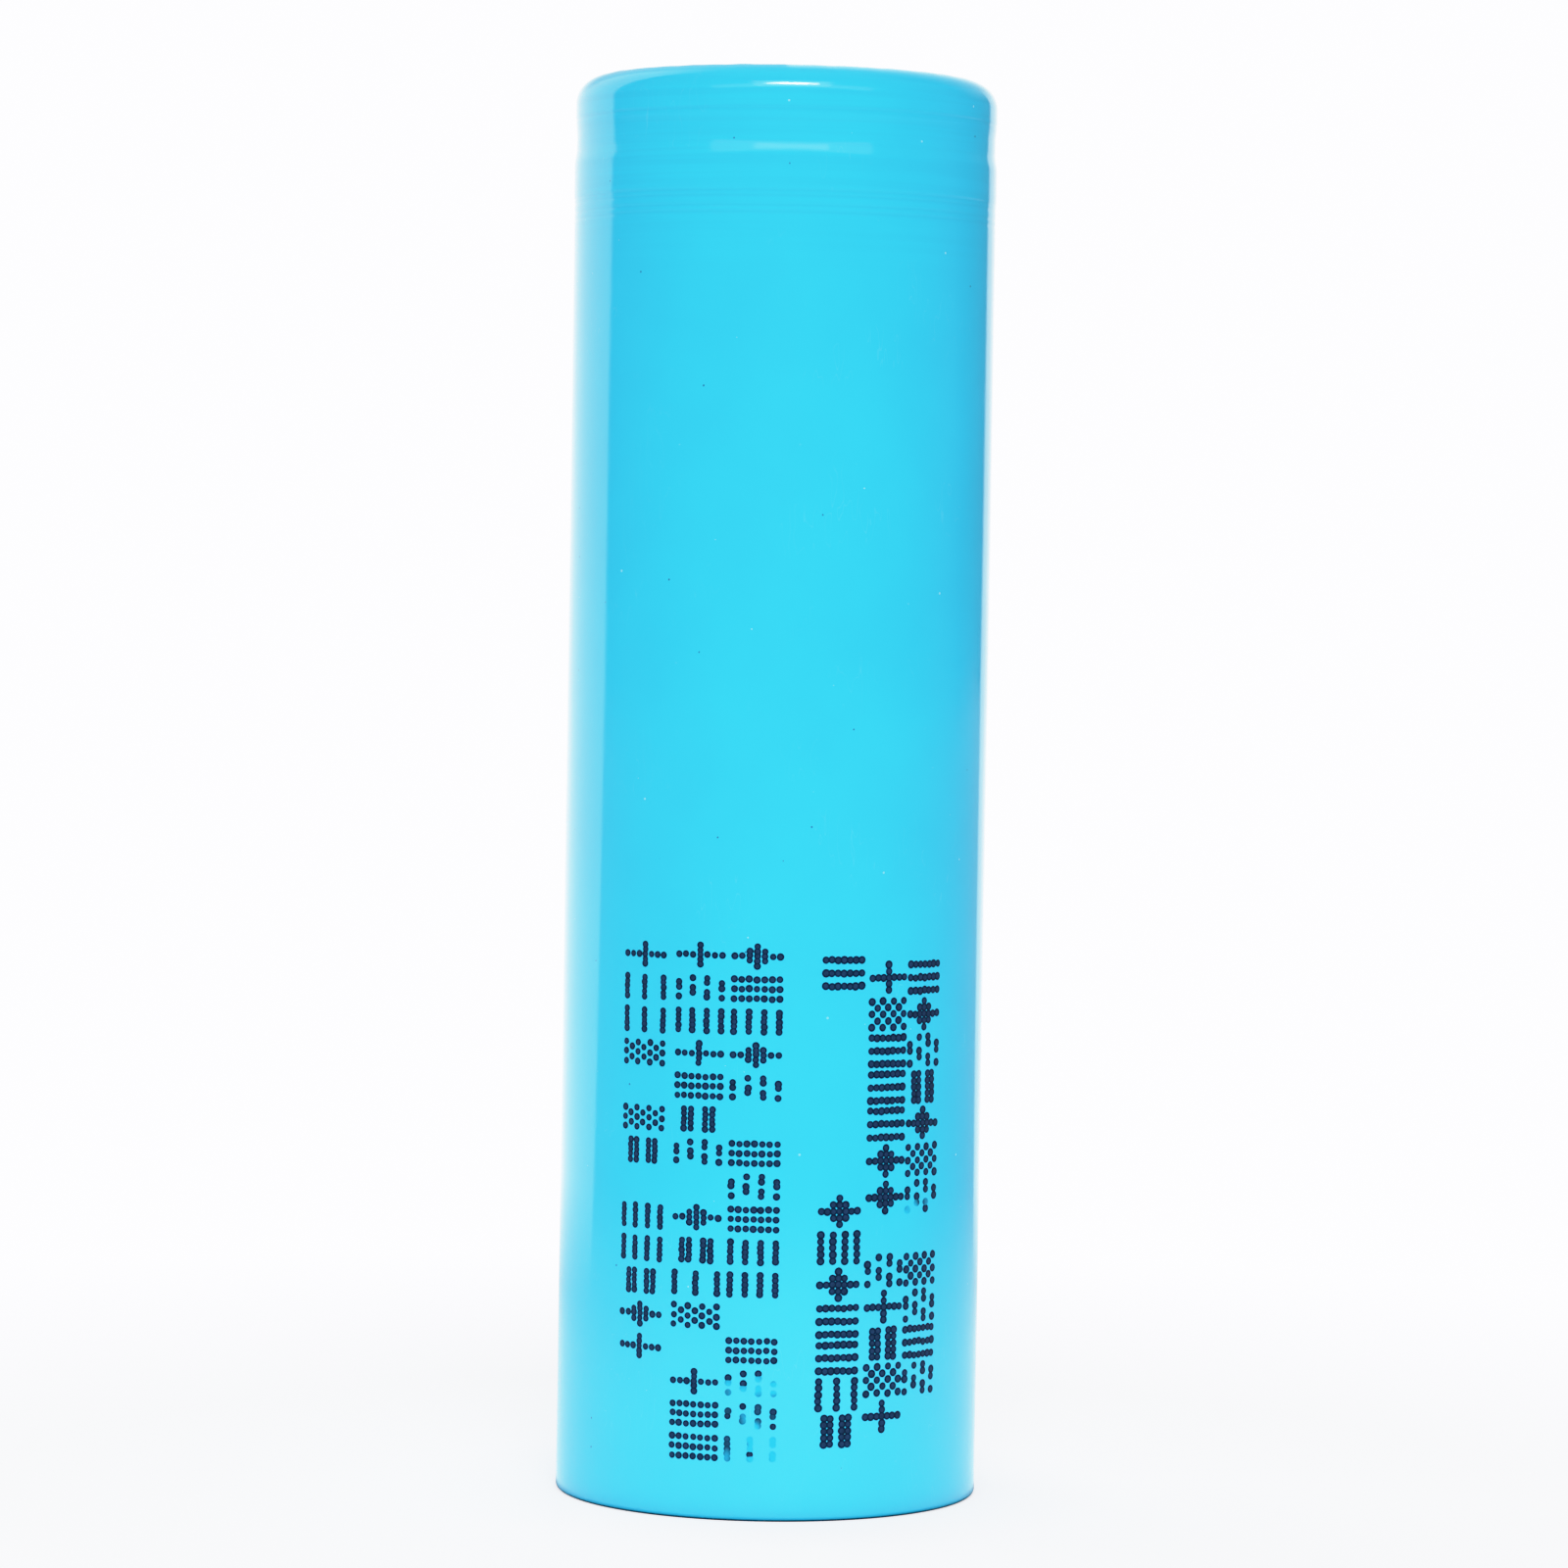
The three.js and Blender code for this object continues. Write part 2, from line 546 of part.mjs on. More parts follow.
// Each piece with its shape, its material and the height of its base in its group.
const shell = [
  ["sleeve", sleeve, sleeveFilm, 0],
  ["top_insulating_ring", topInsulatingRing, paper, ringBottom],
  ["can", can, nickelSteel, canBottom],
];

const header = [
  ["crimp_gasket", gasket, gasketPlastic, gasketBottom],
  ["positive_cap", positiveCap, nickelSteel, flangeBottom],
  ["vent_disc", ventDisc, aluminium, ventBottom],
  ["vent_diaphragm", ventDiaphragm, aluminium, footBottom],
  ["cid_insulator", cidInsulator, gasketPlastic, contactBottom],
  ["contact_disc", contactDisc, aluminium, contactBottom],
  ["sub_plate", subPlate, aluminium, subPlateBottom],
];

const roll = [
  ["upper_insulator", upperInsulator, discPlastic, upperDiscBottom],
  ["positive_tab", positiveTab, aluminium, POSITIVE_TAB_START],
  ["positive_tab_tape", positiveTabTape, polyimideTape, cathodeTop - TAPE_REACH],
  ["cathode", cathode, cathodeCoat, CATHODE_SHY],
  ["anode", anode, anodeCoat, ANODE_SHY],
  ["inner_separator", innerSeparator, separatorFilm, 0],
  ["outer_separator", outerSeparator, separatorFilm, 0],
  ["centre_pin", centrePin, nickelSteel, PIN_SHY],
  ["upper_roll_tape", rollTape, rollTapeFilm, ROLL_LENGTH - ROLL_TAPE_SHY - ROLL_TAPE_HEIGHT],
  ["lower_roll_tape", rollTape, rollTapeFilm, ROLL_TAPE_SHY],
  ["negative_tab", negativeTab, nickel, negativeTabBottom],
  ["negative_tab_tape", negativeTabTape, polyimideTape, 0],
  ["lower_insulator", lowerInsulator, discPlastic, lowerDiscBottom],
];

// A group with one mesh for each piece of a list, at a height.
function groupOf(pieces, height) {
  const group = new THREE.Group();
  group.position.z = height;
  for (const [name, shape, material, base] of pieces) {
    const mesh = new THREE.Mesh(shape(), material);
    mesh.name = name;
    mesh.position.z = base;
    group.add(mesh);
  }
  return group;
}

const cell = new THREE.Group();
cell.add(groupOf(shell, 0), groupOf(header, 0), groupOf(roll, ROLL_BOTTOM));

export default cell;
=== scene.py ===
import json
import math
import random
from collections import namedtuple

import bmesh
import bpy
from mathutils import Matrix, Vector

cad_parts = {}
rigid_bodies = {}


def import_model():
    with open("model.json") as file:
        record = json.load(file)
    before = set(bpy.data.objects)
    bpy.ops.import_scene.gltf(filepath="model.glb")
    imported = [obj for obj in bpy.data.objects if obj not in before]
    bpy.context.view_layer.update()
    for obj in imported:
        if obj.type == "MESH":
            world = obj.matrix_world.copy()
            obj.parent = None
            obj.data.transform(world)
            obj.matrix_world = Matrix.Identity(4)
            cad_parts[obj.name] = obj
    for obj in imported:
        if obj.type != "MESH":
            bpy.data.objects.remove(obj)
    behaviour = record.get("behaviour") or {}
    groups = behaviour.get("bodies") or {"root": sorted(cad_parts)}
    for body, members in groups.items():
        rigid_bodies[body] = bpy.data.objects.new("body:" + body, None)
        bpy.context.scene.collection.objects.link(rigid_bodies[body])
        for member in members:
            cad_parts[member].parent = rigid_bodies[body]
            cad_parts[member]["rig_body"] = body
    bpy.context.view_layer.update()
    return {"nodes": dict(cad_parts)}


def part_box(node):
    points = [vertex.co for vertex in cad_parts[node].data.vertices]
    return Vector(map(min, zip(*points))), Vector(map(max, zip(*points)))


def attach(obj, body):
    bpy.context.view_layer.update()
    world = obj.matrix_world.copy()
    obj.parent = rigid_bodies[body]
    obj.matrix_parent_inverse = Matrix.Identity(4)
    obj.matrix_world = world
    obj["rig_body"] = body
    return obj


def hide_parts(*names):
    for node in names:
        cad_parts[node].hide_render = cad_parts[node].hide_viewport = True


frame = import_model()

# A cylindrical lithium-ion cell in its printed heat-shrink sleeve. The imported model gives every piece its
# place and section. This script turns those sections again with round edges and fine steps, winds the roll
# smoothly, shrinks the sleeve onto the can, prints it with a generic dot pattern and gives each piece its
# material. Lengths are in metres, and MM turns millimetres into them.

MM = 0.001
TURN = 2 * math.pi

# ---------------- driving values

ROUND_SIDES = 160  # round a turned piece
SLEEVE_SIDES = 256
HOLE_SIDES = 32
STEPS_PER_TURN = 64  # along a wound strip
SOFT_EDGE = 0.06 * MM  # rounding of a sharp edge
CORNER_STEPS = 4
ARC_TURN = math.radians(50)  # a corner gentler than this belongs to an arc
SHARP = math.radians(35)  # an edge that turns further than this is shaded as an edge
SEED = 21  # of all the unevenness

# The sleeve, measured from its foot at height 0.
FILM = 0.11 * MM
SHOULDER = 1.35 * MM  # radius where the film turns over the top
FOOT = 0.25 * MM  # radius where it turns under the bottom
SHRUNK_FROM = (60 * MM, 64 * MM)  # the film is even up to the first height, and banded from the second
SLEEVE_FOOT_SHADE = (0.07 * MM, 0.14 * MM)  # painted shade: the film is darkened up to here, where it turns under onto the floor, and plain above
DENT = 0.068 * MM  # where the film sinks into the can's bead groove
SWELL = 0.032 * MM  # where it stands proud below the groove
# Heights from the groove at which each starts, is full, starts to fade and ends.
DENT_REACH = (-1.19 * MM, -0.35 * MM, 0.3 * MM, 1.3 * MM)
SWELL_REACH = (-3.35 * MM, -2.4 * MM, -1.25 * MM, -0.3 * MM)
SHRINK_LINES = [68.5 * MM, 64.55 * MM, 64.32 * MM, 63.85 * MM, 63.52 * MM]  # fine rings round the film
SHRINK_LINE_DEPTH = 0.014 * MM
SHRINK_LINE_WIDTH = 0.09 * MM
PUCKER = 0.035 * MM  # height of the film's radial puckers over the top
FOOT_PUCKER = 0.4  # their height under the foot, as a share of that
PUCKER_SPAN = (1.4 * MM, 0.5 * MM)  # they fade out between these distances from the wall
RAGGED = 0.07 * MM  # how uneven the film's cut edges are
RAGGED_SPAN = (8.8 * MM, 9.3 * MM)  # the radii between which that fades out
WAVE = 0.012 * MM  # how uneven its wall is
FLAT_STEPS = 8  # along its section: over each end, round the foot and round the shoulder
FOOT_STEPS = 8
SHOULDER_STEPS = 16
LOW_STEPS = 88  # up the wall, below the lowest shrink line and above it
HIGH_STEPS = 96

# The winding: turns counted from the start of the inner separator.
CORE = 1.75 * MM
FILM_THICK = 0.08 * MM
ANODE_THICK = 0.22 * MM
CATHODE_THICK = 0.21 * MM
LAYER_GAP = 0.025 * MM
CAD_STEPS = 16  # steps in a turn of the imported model's strips, in which the next six are counted
INNER_FILM_STEPS = (0, 188)
OUTER_FILM_STEPS = (2, 181)
CATHODE_STEPS = (13, 163)
ANODE_STEPS = (6, 180)
POSITIVE_TAB_STEPS = (87, 89)
NEGATIVE_TAB_STEPS = (176, 177)
FILM_UNEVEN = 0.03 * MM  # along the separators' edges
TAB_THICK = 0.1 * MM
TAB_BEND = 0.45 * MM
TAB_END = -2.0 * MM  # how far a tab reaches past the axis
TAB_COLUMNS = 12
FLATTENS = (-0.3 * MM, 0.9 * MM)  # a tab goes from curved to flat between these heights from the roll's end
TAB_WINDOW = 0.12 * MM  # depth of the bare patch that a tab lies in
WINDOW_STEP = math.radians(0.2)  # half of the turn over which that depth changes
TAB_NOTCH = 8 * MM  # how far the notch for its tape reaches in from the strip's edge
TAPE_THICK = 0.05 * MM
TAPE_TURN = 28 / 32  # the share of a turn that a roll tape goes round
PIN_THICK = 0.25 * MM
PIN_TURN = 15 / 16

ANODE_FACE = FILM_THICK + LAYER_GAP
OUTER_FILM_FACE = ANODE_FACE + ANODE_THICK + LAYER_GAP
CATHODE_FACE = OUTER_FILM_FACE + FILM_THICK + LAYER_GAP
PITCH = CATHODE_FACE + CATHODE_THICK + LAYER_GAP

# ---------------- mesh tools


def polar(radius, angle, height):
    return Vector((radius * math.cos(angle), radius * math.sin(angle), height))


def ease(value, start, end):
    """0 before start, 1 after end, and a smooth step between them."""
    share = min(1.0, max(0.0, (value - start) / (end - start)))
    return share * share * (3 - 2 * share)


def mesh_object(name, points, faces, sharp=SHARP):
    mesh = bpy.data.meshes.new(name)
    mesh.from_pydata([tuple(p) for p in points], [], faces)
    tidy = bmesh.new()
    tidy.from_mesh(mesh)
    bmesh.ops.recalc_face_normals(tidy, faces=tidy.faces)
    tidy.to_mesh(mesh)
    tidy.free()
    mesh.shade_smooth()
    mesh.set_sharp_from_angle(angle=sharp)
    piece = bpy.data.objects.new(name, mesh)
    bpy.context.scene.collection.objects.link(piece)
    return piece


def sliced(solid, normal, **settings):
    """Cuts a bmesh along the plane through the origin with this normal. Returns what lies on the cut."""
    everything = solid.verts[:] + solid.edges[:] + solid.faces[:]
    found = bmesh.ops.bisect_plane(solid, geom=everything, plane_co=(0, 0, 0), plane_no=normal, **settings)
    return found["geom_cut"]


def section(node, angle):
    """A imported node's section in the half plane at an angle: its (radius, height) points in order."""
    out = Vector((math.cos(angle), math.sin(angle), 0))
    across = Vector((-math.sin(angle), math.cos(angle), 0))
    cut = bmesh.new()
    cut.from_mesh(frame["nodes"][node].data)
    cut.transform(frame["nodes"][node].matrix_world)
    bmesh.ops.remove_doubles(cut, verts=cut.verts, dist=0.001 * MM)
    sliced(cut, out, dist=1e-8, clear_inner=True)
    edges = [e for e in sliced(cut, across, dist=1e-7) if isinstance(e, bmesh.types.BMEdge)]
    neighbours = {}
    for edge in edges:
        first, second = edge.verts
        neighbours.setdefault(first, set()).add(second)
        neighbours.setdefault(second, set()).add(first)
    ends = [v for v in neighbours if len(neighbours[v]) == 1]
    here = min(ends or neighbours, key=lambda v: (v.co.z, v.co.dot(out)))
    chain, seen = [], set()
    while here is not None:
        chain.append((max(0.0, here.co.dot(out)), here.co.z))
        seen.add(here)
        here = next((v for v in sorted(neighbours[here], key=lambda v: v.co.z) if v not in seen), None)
    cut.free()
    return chain, not ends


def corner_turn(before, here, after):
    first = Vector(here) - Vector(before)
    second = Vector(after) - Vector(here)
    return first.angle(second, 0.0), first.length, second.length


def softened(chain, closed, edge=SOFT_EDGE):
    """The chain with each corner replaced by a curve: a small one, or half of each side within an arc."""
    count = len(chain)
    result = []
    for i, here in enumerate(chain):
        if not closed and i in (0, count - 1):
            result.append(here)
            continue
        before, after = Vector(chain[i - 1]), Vector(chain[(i + 1) % count])
        here = Vector(here)
        turn, length_in, length_out = corner_turn(before, here, after)
        if turn < math.radians(0.5):
            continue
        reach = min(length_in, length_out) / 2
        if turn > ARC_TURN:
            reach = min(reach * 0.8, edge)
        start = here + (before - here).normalized() * reach
        end = here + (after - here).normalized() * reach
        for k in range(CORNER_STEPS + 1):
            t = k / CORNER_STEPS
            point = start.lerp(here, t).lerp(here.lerp(end, t), t)
            if not result or (Vector(result[-1]) - point).length > 0.001 * MM:
                result.append(tuple(point))
    if closed and (Vector(result[0]) - Vector(result[-1])).length < 0.001 * MM:
        result.pop()
    return result


def band(lower, upper):
    """The faces between two rings of point numbers. Either ring may be a single point."""
    faces = []
    count = max(len(lower), len(upper))
    for k in range(count):
        n = (k + 1) % count
        if len(lower) == 1:
            faces.append((lower[0], upper[n], upper[k]))
        elif len(upper) == 1:
            faces.append((lower[k], lower[n], upper[0]))
        else:
            faces.append((lower[k], lower[n], upper[n], upper[k]))
    return faces


def turned(name, chain, closed, sides=ROUND_SIDES, moved=None):
    """The body that a chain sweeps round the axis. moved(radius, angle, height) may shift each point."""
    points, rings = [], []
    for radius, height in chain:
        on_axis = radius < 0.001 * MM
        ring = []
        for k in range(1 if on_axis else sides):
            angle = TURN * k / sides
            place = (0.0, angle, height) if on_axis else (radius, angle, height)
            ring.append(len(points))
            points.append(polar(*(moved(*place) if moved else place)))
        rings.append(ring)
    pairs = list(zip(rings, rings[1:]))
    if closed:
        pairs.append((rings[-1], rings[0]))
    return mesh_object(name, points, [face for lower, upper in pairs for face in band(lower, upper)])


def tube(name, loops, sharp=SHARP):
    """A tube through loops of points, closed at both ends."""
    size = len(loops[0])
    rings = [range(k * size, (k + 1) * size) for k in range(len(loops))]
    faces = [face for lower, upper in zip(rings, rings[1:]) for face in band(lower, upper)]
    faces += [tuple(rings[0]), tuple(reversed(rings[-1]))]
    return mesh_object(name, [point for loop in loops for point in loop], faces, sharp)


def swept(name, loop_at, angles):
    """A loop of (radius, height) points that may change as it goes round the axis."""
    loops = [[polar(radius, angle, height) for radius, height in loop_at(angle)] for angle in angles]
    return tube(name, loops)


def pierced(piece, cutters):
    """The piece with each cutter's volume taken out."""
    for cutter in cutters:
        cut = piece.modifiers.new("cut", "BOOLEAN")
        cut.object = cutter
        cut.solver = "EXACT"
        bpy.context.view_layer.update()
        evaluated = piece.evaluated_get(bpy.context.evaluated_depsgraph_get())
        mesh = bpy.data.meshes.new_from_object(evaluated)
        piece.modifiers.remove(cut)
        piece.data = mesh
        bpy.data.objects.remove(cutter)
    piece.data.shade_smooth()
    piece.data.set_sharp_from_angle(angle=SHARP)
    return piece


def post(radius, x, y, bottom, top):
    """An upright round cutter."""
    angles = [TURN * k / HOLE_SIDES for k in range(HOLE_SIDES)]
    return prism([(x + radius * math.cos(a), y + radius * math.sin(a)) for a in angles], bottom, top)


def prism(outline, bottom, top):
    count = len(outline)
    points = [Vector((x, y, bottom)) for x, y in outline] + [Vector((x, y, top)) for x, y in outline]
    faces = [tuple(reversed(range(count))), tuple(range(count, 2 * count))]
    return mesh_object("cutter", points, faces + band(range(count), range(count, 2 * count)))


def quarter(x, y, radius, number, steps):
    """Points along one of the four quarters of a circle."""
    angles = [(number + k / steps) * TURN / 4 for k in range(steps + 1)]
    return [(x + radius * math.cos(a), y + radius * math.sin(a)) for a in angles]


def window(inner, outer, width, angle, bottom, top, corner=0.25 * MM):
    """An upright cutter with a rounded oblong outline that reaches out along an angle."""
    outline = []
    centres = [(outer - corner, width / 2 - corner), (inner + corner, width / 2 - corner)]
    centres += [(inner + corner, corner - width / 2), (outer - corner, corner - width / 2)]
    for number, (x, y) in enumerate(centres):
        outline += quarter(x, y, corner, number, 6)
    turn = Matrix.Rotation(angle, 2)
    return prism([tuple(turn @ Vector(p)) for p in outline], bottom, top)


def keep(piece, node, slot):
    """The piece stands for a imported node, rides on its body and takes its finish."""
    piece.data.materials.clear()
    piece.data.materials.append(FINISHES[slot])
    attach(piece, frame["nodes"][node]["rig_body"])
    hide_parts(node)


# ---------------- materials


def srgb(red, green, blue):
    """A display colour, 0 to 255, as the linear colour that materials use."""
    return tuple(((c / 255 + 0.055) / 1.055) ** 2.4 if c > 10 else c / 3295 for c in (red, green, blue))


class Tree:
    """Short calls that add nodes to one node tree."""

    def __init__(self, tree):
        self.tree = tree

    def put(self, socket, value):
        if isinstance(value, bpy.types.NodeSocket):
            self.tree.links.new(value, socket)
        elif socket.type == "RGBA":
            socket.default_value = (*value[:3], 1)
        else:
            socket.default_value = value

    def add(self, kind, inputs, **settings):
        node = self.tree.nodes.new("ShaderNode" + kind)
        for key, value in settings.items():
            setattr(node, key, value)
        for key, value in inputs.items():
            self.put(node.inputs[key], value)
        return node

    def math(self, operation, first, second=0.0):
        return self.add("Math", {0: first, 1: second}, operation=operation).outputs[0]

    def scaled(self, value, from_low, from_high, low=0.0, high=1.0):
        """value from one range to another, held at the ends."""
        inputs = {"Value": value, "From Min": from_low, "From Max": from_high}
        inputs |= {"To Min": low, "To Max": high}
        return self.add("MapRange", inputs).outputs[0]

    def between(self, share, first, second):
        """From one value to another, as share goes from 0 to 1."""
        return self.add("Mix", {0: share, 2: first, 3: second}, data_type="FLOAT").outputs[0]

    def blend(self, share, first, second):
        """From one colour to another, as share goes from 0 to 1."""
        return self.add("Mix", {0: share, 6: first, 7: second}, data_type="RGBA").outputs[2]

    def show(self, output_type, to_camera, to_cell):
        """The camera sees one shader, and all other light meets the other."""
        seen = self.add("LightPath", {}).outputs["Is Camera Ray"]
        mixed = self.add("MixShader", {0: seen, 1: to_cell, 2: to_camera}).outputs[0]
        output = next(n for n in self.tree.nodes if n.type == output_type)
        self.put(output.inputs["Surface"], mixed)


class Look(Tree):
    """A procedural material: one principled shader, with patterns in object space."""

    def __init__(self, name, colour, roughness, metallic=0.0):
        self.material = bpy.data.materials.new(name)
        self.material.use_nodes = True
        super().__init__(self.material.node_tree)
        self.shader = self.tree.nodes["Principled BSDF"]
        self.place = self.add("TexCoord", {}).outputs["Object"]
        self.set("Base Color", colour)
        self.set("Roughness", roughness)
        self.set("Metallic", metallic)
        self.set("IOR", 1.5)

    def set(self, name, value):
        self.put(self.shader.inputs[name], value)

    def stretched(self, size, along=(1, 1, 1), tilt=0.0):
        """Object space, so that one unit is size, and longer along an axis by that factor."""
        scale = tuple(1 / (size * a) for a in along)
        inputs = {"Vector": self.place, "Scale": scale, "Rotation": (0, tilt, 0)}
        return self.add("Mapping", inputs).outputs[0]

    def noise(self, size, along=(1, 1, 1), detail=3.0, tilt=0.0):
        inputs = {"Vector": self.stretched(size, along, tilt), "Scale": 1.0, "Detail": detail}
        return self.add("TexNoise", inputs).outputs["Fac"]

    def specks(self, size, reach, share):
        """1 on small round specks, one to a cell in a share of the cells."""
        cells = self.add("TexVoronoi", {"Vector": self.stretched(size), "Scale": 1.0})
        near = self.math("LESS_THAN", cells.outputs["Distance"], reach)
        parts = self.add("SeparateColor", {0: cells.outputs["Color"]}).outputs
        chosen = self.math("LESS_THAN", parts[0], share)
        return self.math("MULTIPLY", near, chosen)

    def scratches(self, size, along, tilt, width, patch):
        """1 on thin broken lines."""
        lines = self.noise(size, along, 1.0, tilt)
        off = self.math("ABSOLUTE", self.math("SUBTRACT", lines, 0.5))
        thin = self.math("LESS_THAN", off, width)
        there = self.scaled(self.noise(patch), 0.56, 0.62)
        return self.math("MULTIPLY", thin, there)

    def tint(self, share, first, second):
        """The base colour goes from one colour to another, as share goes from 0 to 1."""
        self.set("Base Color", self.blend(share, first, second))

    def bumps(self, *layers):
        """Bump from (height, depth) layers."""
        normal = None
        for height, depth in layers:
            inputs = {"Height": height, "Distance": depth}
            if normal is not None:
                inputs["Normal"] = normal
            normal = self.add("Bump", inputs).outputs[0]
        self.set("Normal", normal)


def shade(colour, factor):
    return tuple(min(1.0, c * factor) for c in colour)


FILM_CYAN = (0.018, 0.545, 0.905)
INK = (0.0002, 0.006, 0.028)
INK_MIDDLE = (0.010, 0.028, 0.076)  # ink dries thinner in the middle of a dot
# pale specks and scuffs: real marks on the film, painted paler as glints of the lamps
PALE_GLINT = srgb(190, 238, 248)
# the colour of dark dust specks, and of the painted shade along the film's foot
DUST_AND_FOOT_SHADE = srgb(16, 80, 125)


def sleeve_look():
    """Glossy film, darker in faint bands, with painted shade in its shrink rings and along its foot, dust
    specks, and specks and light scuffs painted pale as glints.
    """
    look = Look("sleeve_film", FILM_CYAN, 0.08)
    height = look.add("SeparateXYZ", {0: look.place}).outputs["Z"]
    cloud = look.scaled(look.noise(7 * MM), 0.3, 0.7)
    base = look.blend(cloud, shade(FILM_CYAN, 0.97), shade(FILM_CYAN, 1.03))
    # darker in faint bands towards the top
    bands = look.scaled(look.noise(0.3 * MM, (60, 60, 1), 2.0), 0.42, 0.62)
    bands_and_ring_shade = look.math("MULTIPLY", bands, look.scaled(height, *SHRUNK_FROM, 0.0, 0.25))
    # painted shade in the grooves of the shrink rings
    for line in SHRINK_LINES:
        away = look.math("ABSOLUTE", look.math("SUBTRACT", height, line))
        bands_and_ring_shade = look.math("MAXIMUM", bands_and_ring_shade, look.scaled(away, 0, 1.5 * SHRINK_LINE_WIDTH, 0.4, 0.0))
    bands_and_ring_shade = look.math("MULTIPLY", bands_and_ring_shade, look.scaled(cloud, 0, 1, 0.5, 1))
    base = look.blend(bands_and_ring_shade, base, shade(FILM_CYAN, 0.8))
    marks = look.math("MAXIMUM", look.specks(1.3 * MM, 0.045, 0.1), look.specks(0.45 * MM, 0.05, 0.05))
    scuffs = look.scratches(0.5 * MM, (1, 1, 5), 0.3, 0.004, 5 * MM)
    # painted highlight: specks and faint scuffs are real marks, painted pale as glints
    glint_marks = look.math("MULTIPLY", look.math("MAXIMUM", marks, look.math("MULTIPLY", scuffs, 0.1)), 0.4)
    dust = look.math("MULTIPLY", look.specks(1.5 * MM, 0.035, 0.5), 0.8)
    # painted shade: darker towards the foot, where the film turns under onto the floor
    painted_foot_shade = look.scaled(height, *SLEEVE_FOOT_SHADE, 1.0, 0.0)
    dark = look.math("MAXIMUM", dust, painted_foot_shade)
    look.tint(dark, look.blend(glint_marks, base, PALE_GLINT), DUST_AND_FOOT_SHADE)
    dull = look.scaled(look.noise(1.6 * MM), 0.3, 0.7, 0.06, 0.11)
    look.set("Roughness", look.math("ADD", dull, look.math("MULTIPLY", glint_marks, 0.5)))
    streaks = look.noise(0.28 * MM, (1, 1, 60), 2.0)
    peel = look.noise(0.9 * MM, (1, 1, 1), 2.0)
    look.bumps((streaks, 0.0007 * MM), (peel, 0.0018 * MM), (marks, 0.004 * MM))
    return look.material


def metal_look(name, colour, roughness, along, wear=0.12):
    """Rolled or drawn sheet metal: fine lines along the forming, small dents, and rubbed bright patches."""
    look = Look(name, colour, roughness, metallic=1.0)
    patch = look.scaled(look.noise(2.5 * MM), 0.35, 0.65)
    stain = look.scaled(look.noise(0.6 * MM, detail=5.0), 0.3, 0.75)
    base = look.blend(stain, shade(colour, 1 - wear), shade(colour, 1 + wear / 2))
    scratches = look.scratches(0.5 * MM, (1, 7, 1), 0.4, 0.008, 2 * MM)
    look.tint(scratches, base, shade(colour, 1.2))
    lines = look.noise(0.07 * MM, along, 3.0)
    rough = look.scaled(patch, 0, 1, roughness * 0.8, roughness * 1.25)
    look.set("Roughness", look.math("ADD", rough, look.scaled(lines, 0.3, 0.7, -0.04, 0.04)))
    look.bumps((lines, 0.002 * MM), (look.noise(0.5 * MM), 0.004 * MM))
    return look.material


def coat_look(name, colour, roughness, sheen):
    """A pressed powder coating on foil: grains, and faint roller bands along the strip."""
    look = Look(name, colour, roughness)
    grain = look.noise(0.06 * MM, detail=4.0)
    bands = look.noise(1.2 * MM, (30, 30, 1), 2.0)
    mixed = look.math("ADD", look.math("MULTIPLY", grain, 0.5), look.math("MULTIPLY", bands, 0.5))
    look.tint(look.scaled(mixed, 0.35, 0.65), shade(colour, 0.65), shade(colour, 1.5))
    look.set("Metallic", sheen)
    look.set("Roughness", look.scaled(bands, 0.3, 0.7, roughness * 0.85, min(1.0, roughness * 1.1)))
    look.bumps((grain, 0.004 * MM), (bands, 0.003 * MM))
    return look.material


def plastic_look(name, colour, roughness, grain_size, depth):
    """Moulded or rolled plastic: a slight cloud in the colour and a fine surface grain."""
    look = Look(name, colour, roughness)
    look.tint(look.scaled(look.noise(2 * MM), 0.3, 0.7), shade(colour, 0.92), shade(colour, 1.06))
    grain = look.noise(grain_size, detail=4.0)
    look.set("Roughness", look.scaled(grain, 0.3, 0.7, roughness * 0.85, roughness * 1.15))
    look.bumps((grain, depth), (look.noise(1.5 * MM), 0.006 * MM))
    return look.material


def paper_look():
    """Pressed fibre paper: short crossed fibres and a few darker ones."""
    colour = srgb(238, 236, 228)
    look = Look("ring_paper", colour, 0.9)
    one_way = look.noise(0.05 * MM, (9, 1, 1), 2.0, 0.5)
    other_way = look.noise(0.05 * MM, (1, 9, 1), 2.0, -0.4)
    fibres = look.math("MAXIMUM", one_way, other_way)
    base = look.blend(look.scaled(fibres, 0.45, 0.75), shade(colour, 0.84), shade(colour, 1.02))
    look.tint(look.specks(0.5 * MM, 0.06, 0.15), base, srgb(150, 140, 120))
    look.bumps((fibres, 0.02 * MM), (look.noise(1.2 * MM), 0.02 * MM))
    return look.material


def weave_look():
    """Glass cloth in green resin: crossed threads under a thin gloss."""
    colour = srgb(52, 118, 80)
    look = Look("disc_laminate", colour, 0.5)
    inputs = {"Vector": look.stretched(0.55 * MM), "Scale": 1.0, "Distortion": 0.6, "Detail": 1.0}
    waves = [look.add("TexWave", inputs, bands_direction=axis) for axis in ("X", "Y")]
    threads = look.math("MAXIMUM", *[wave.outputs["Fac"] for wave in waves])
    look.tint(look.scaled(threads, 0.3, 1.0), shade(colour, 0.75), shade(colour, 1.2))
    look.set("Roughness", look.scaled(threads, 0, 1, 0.6, 0.38))
    look.bumps((threads, 0.012 * MM), (look.noise(0.1 * MM), 0.003 * MM))
    return look.material


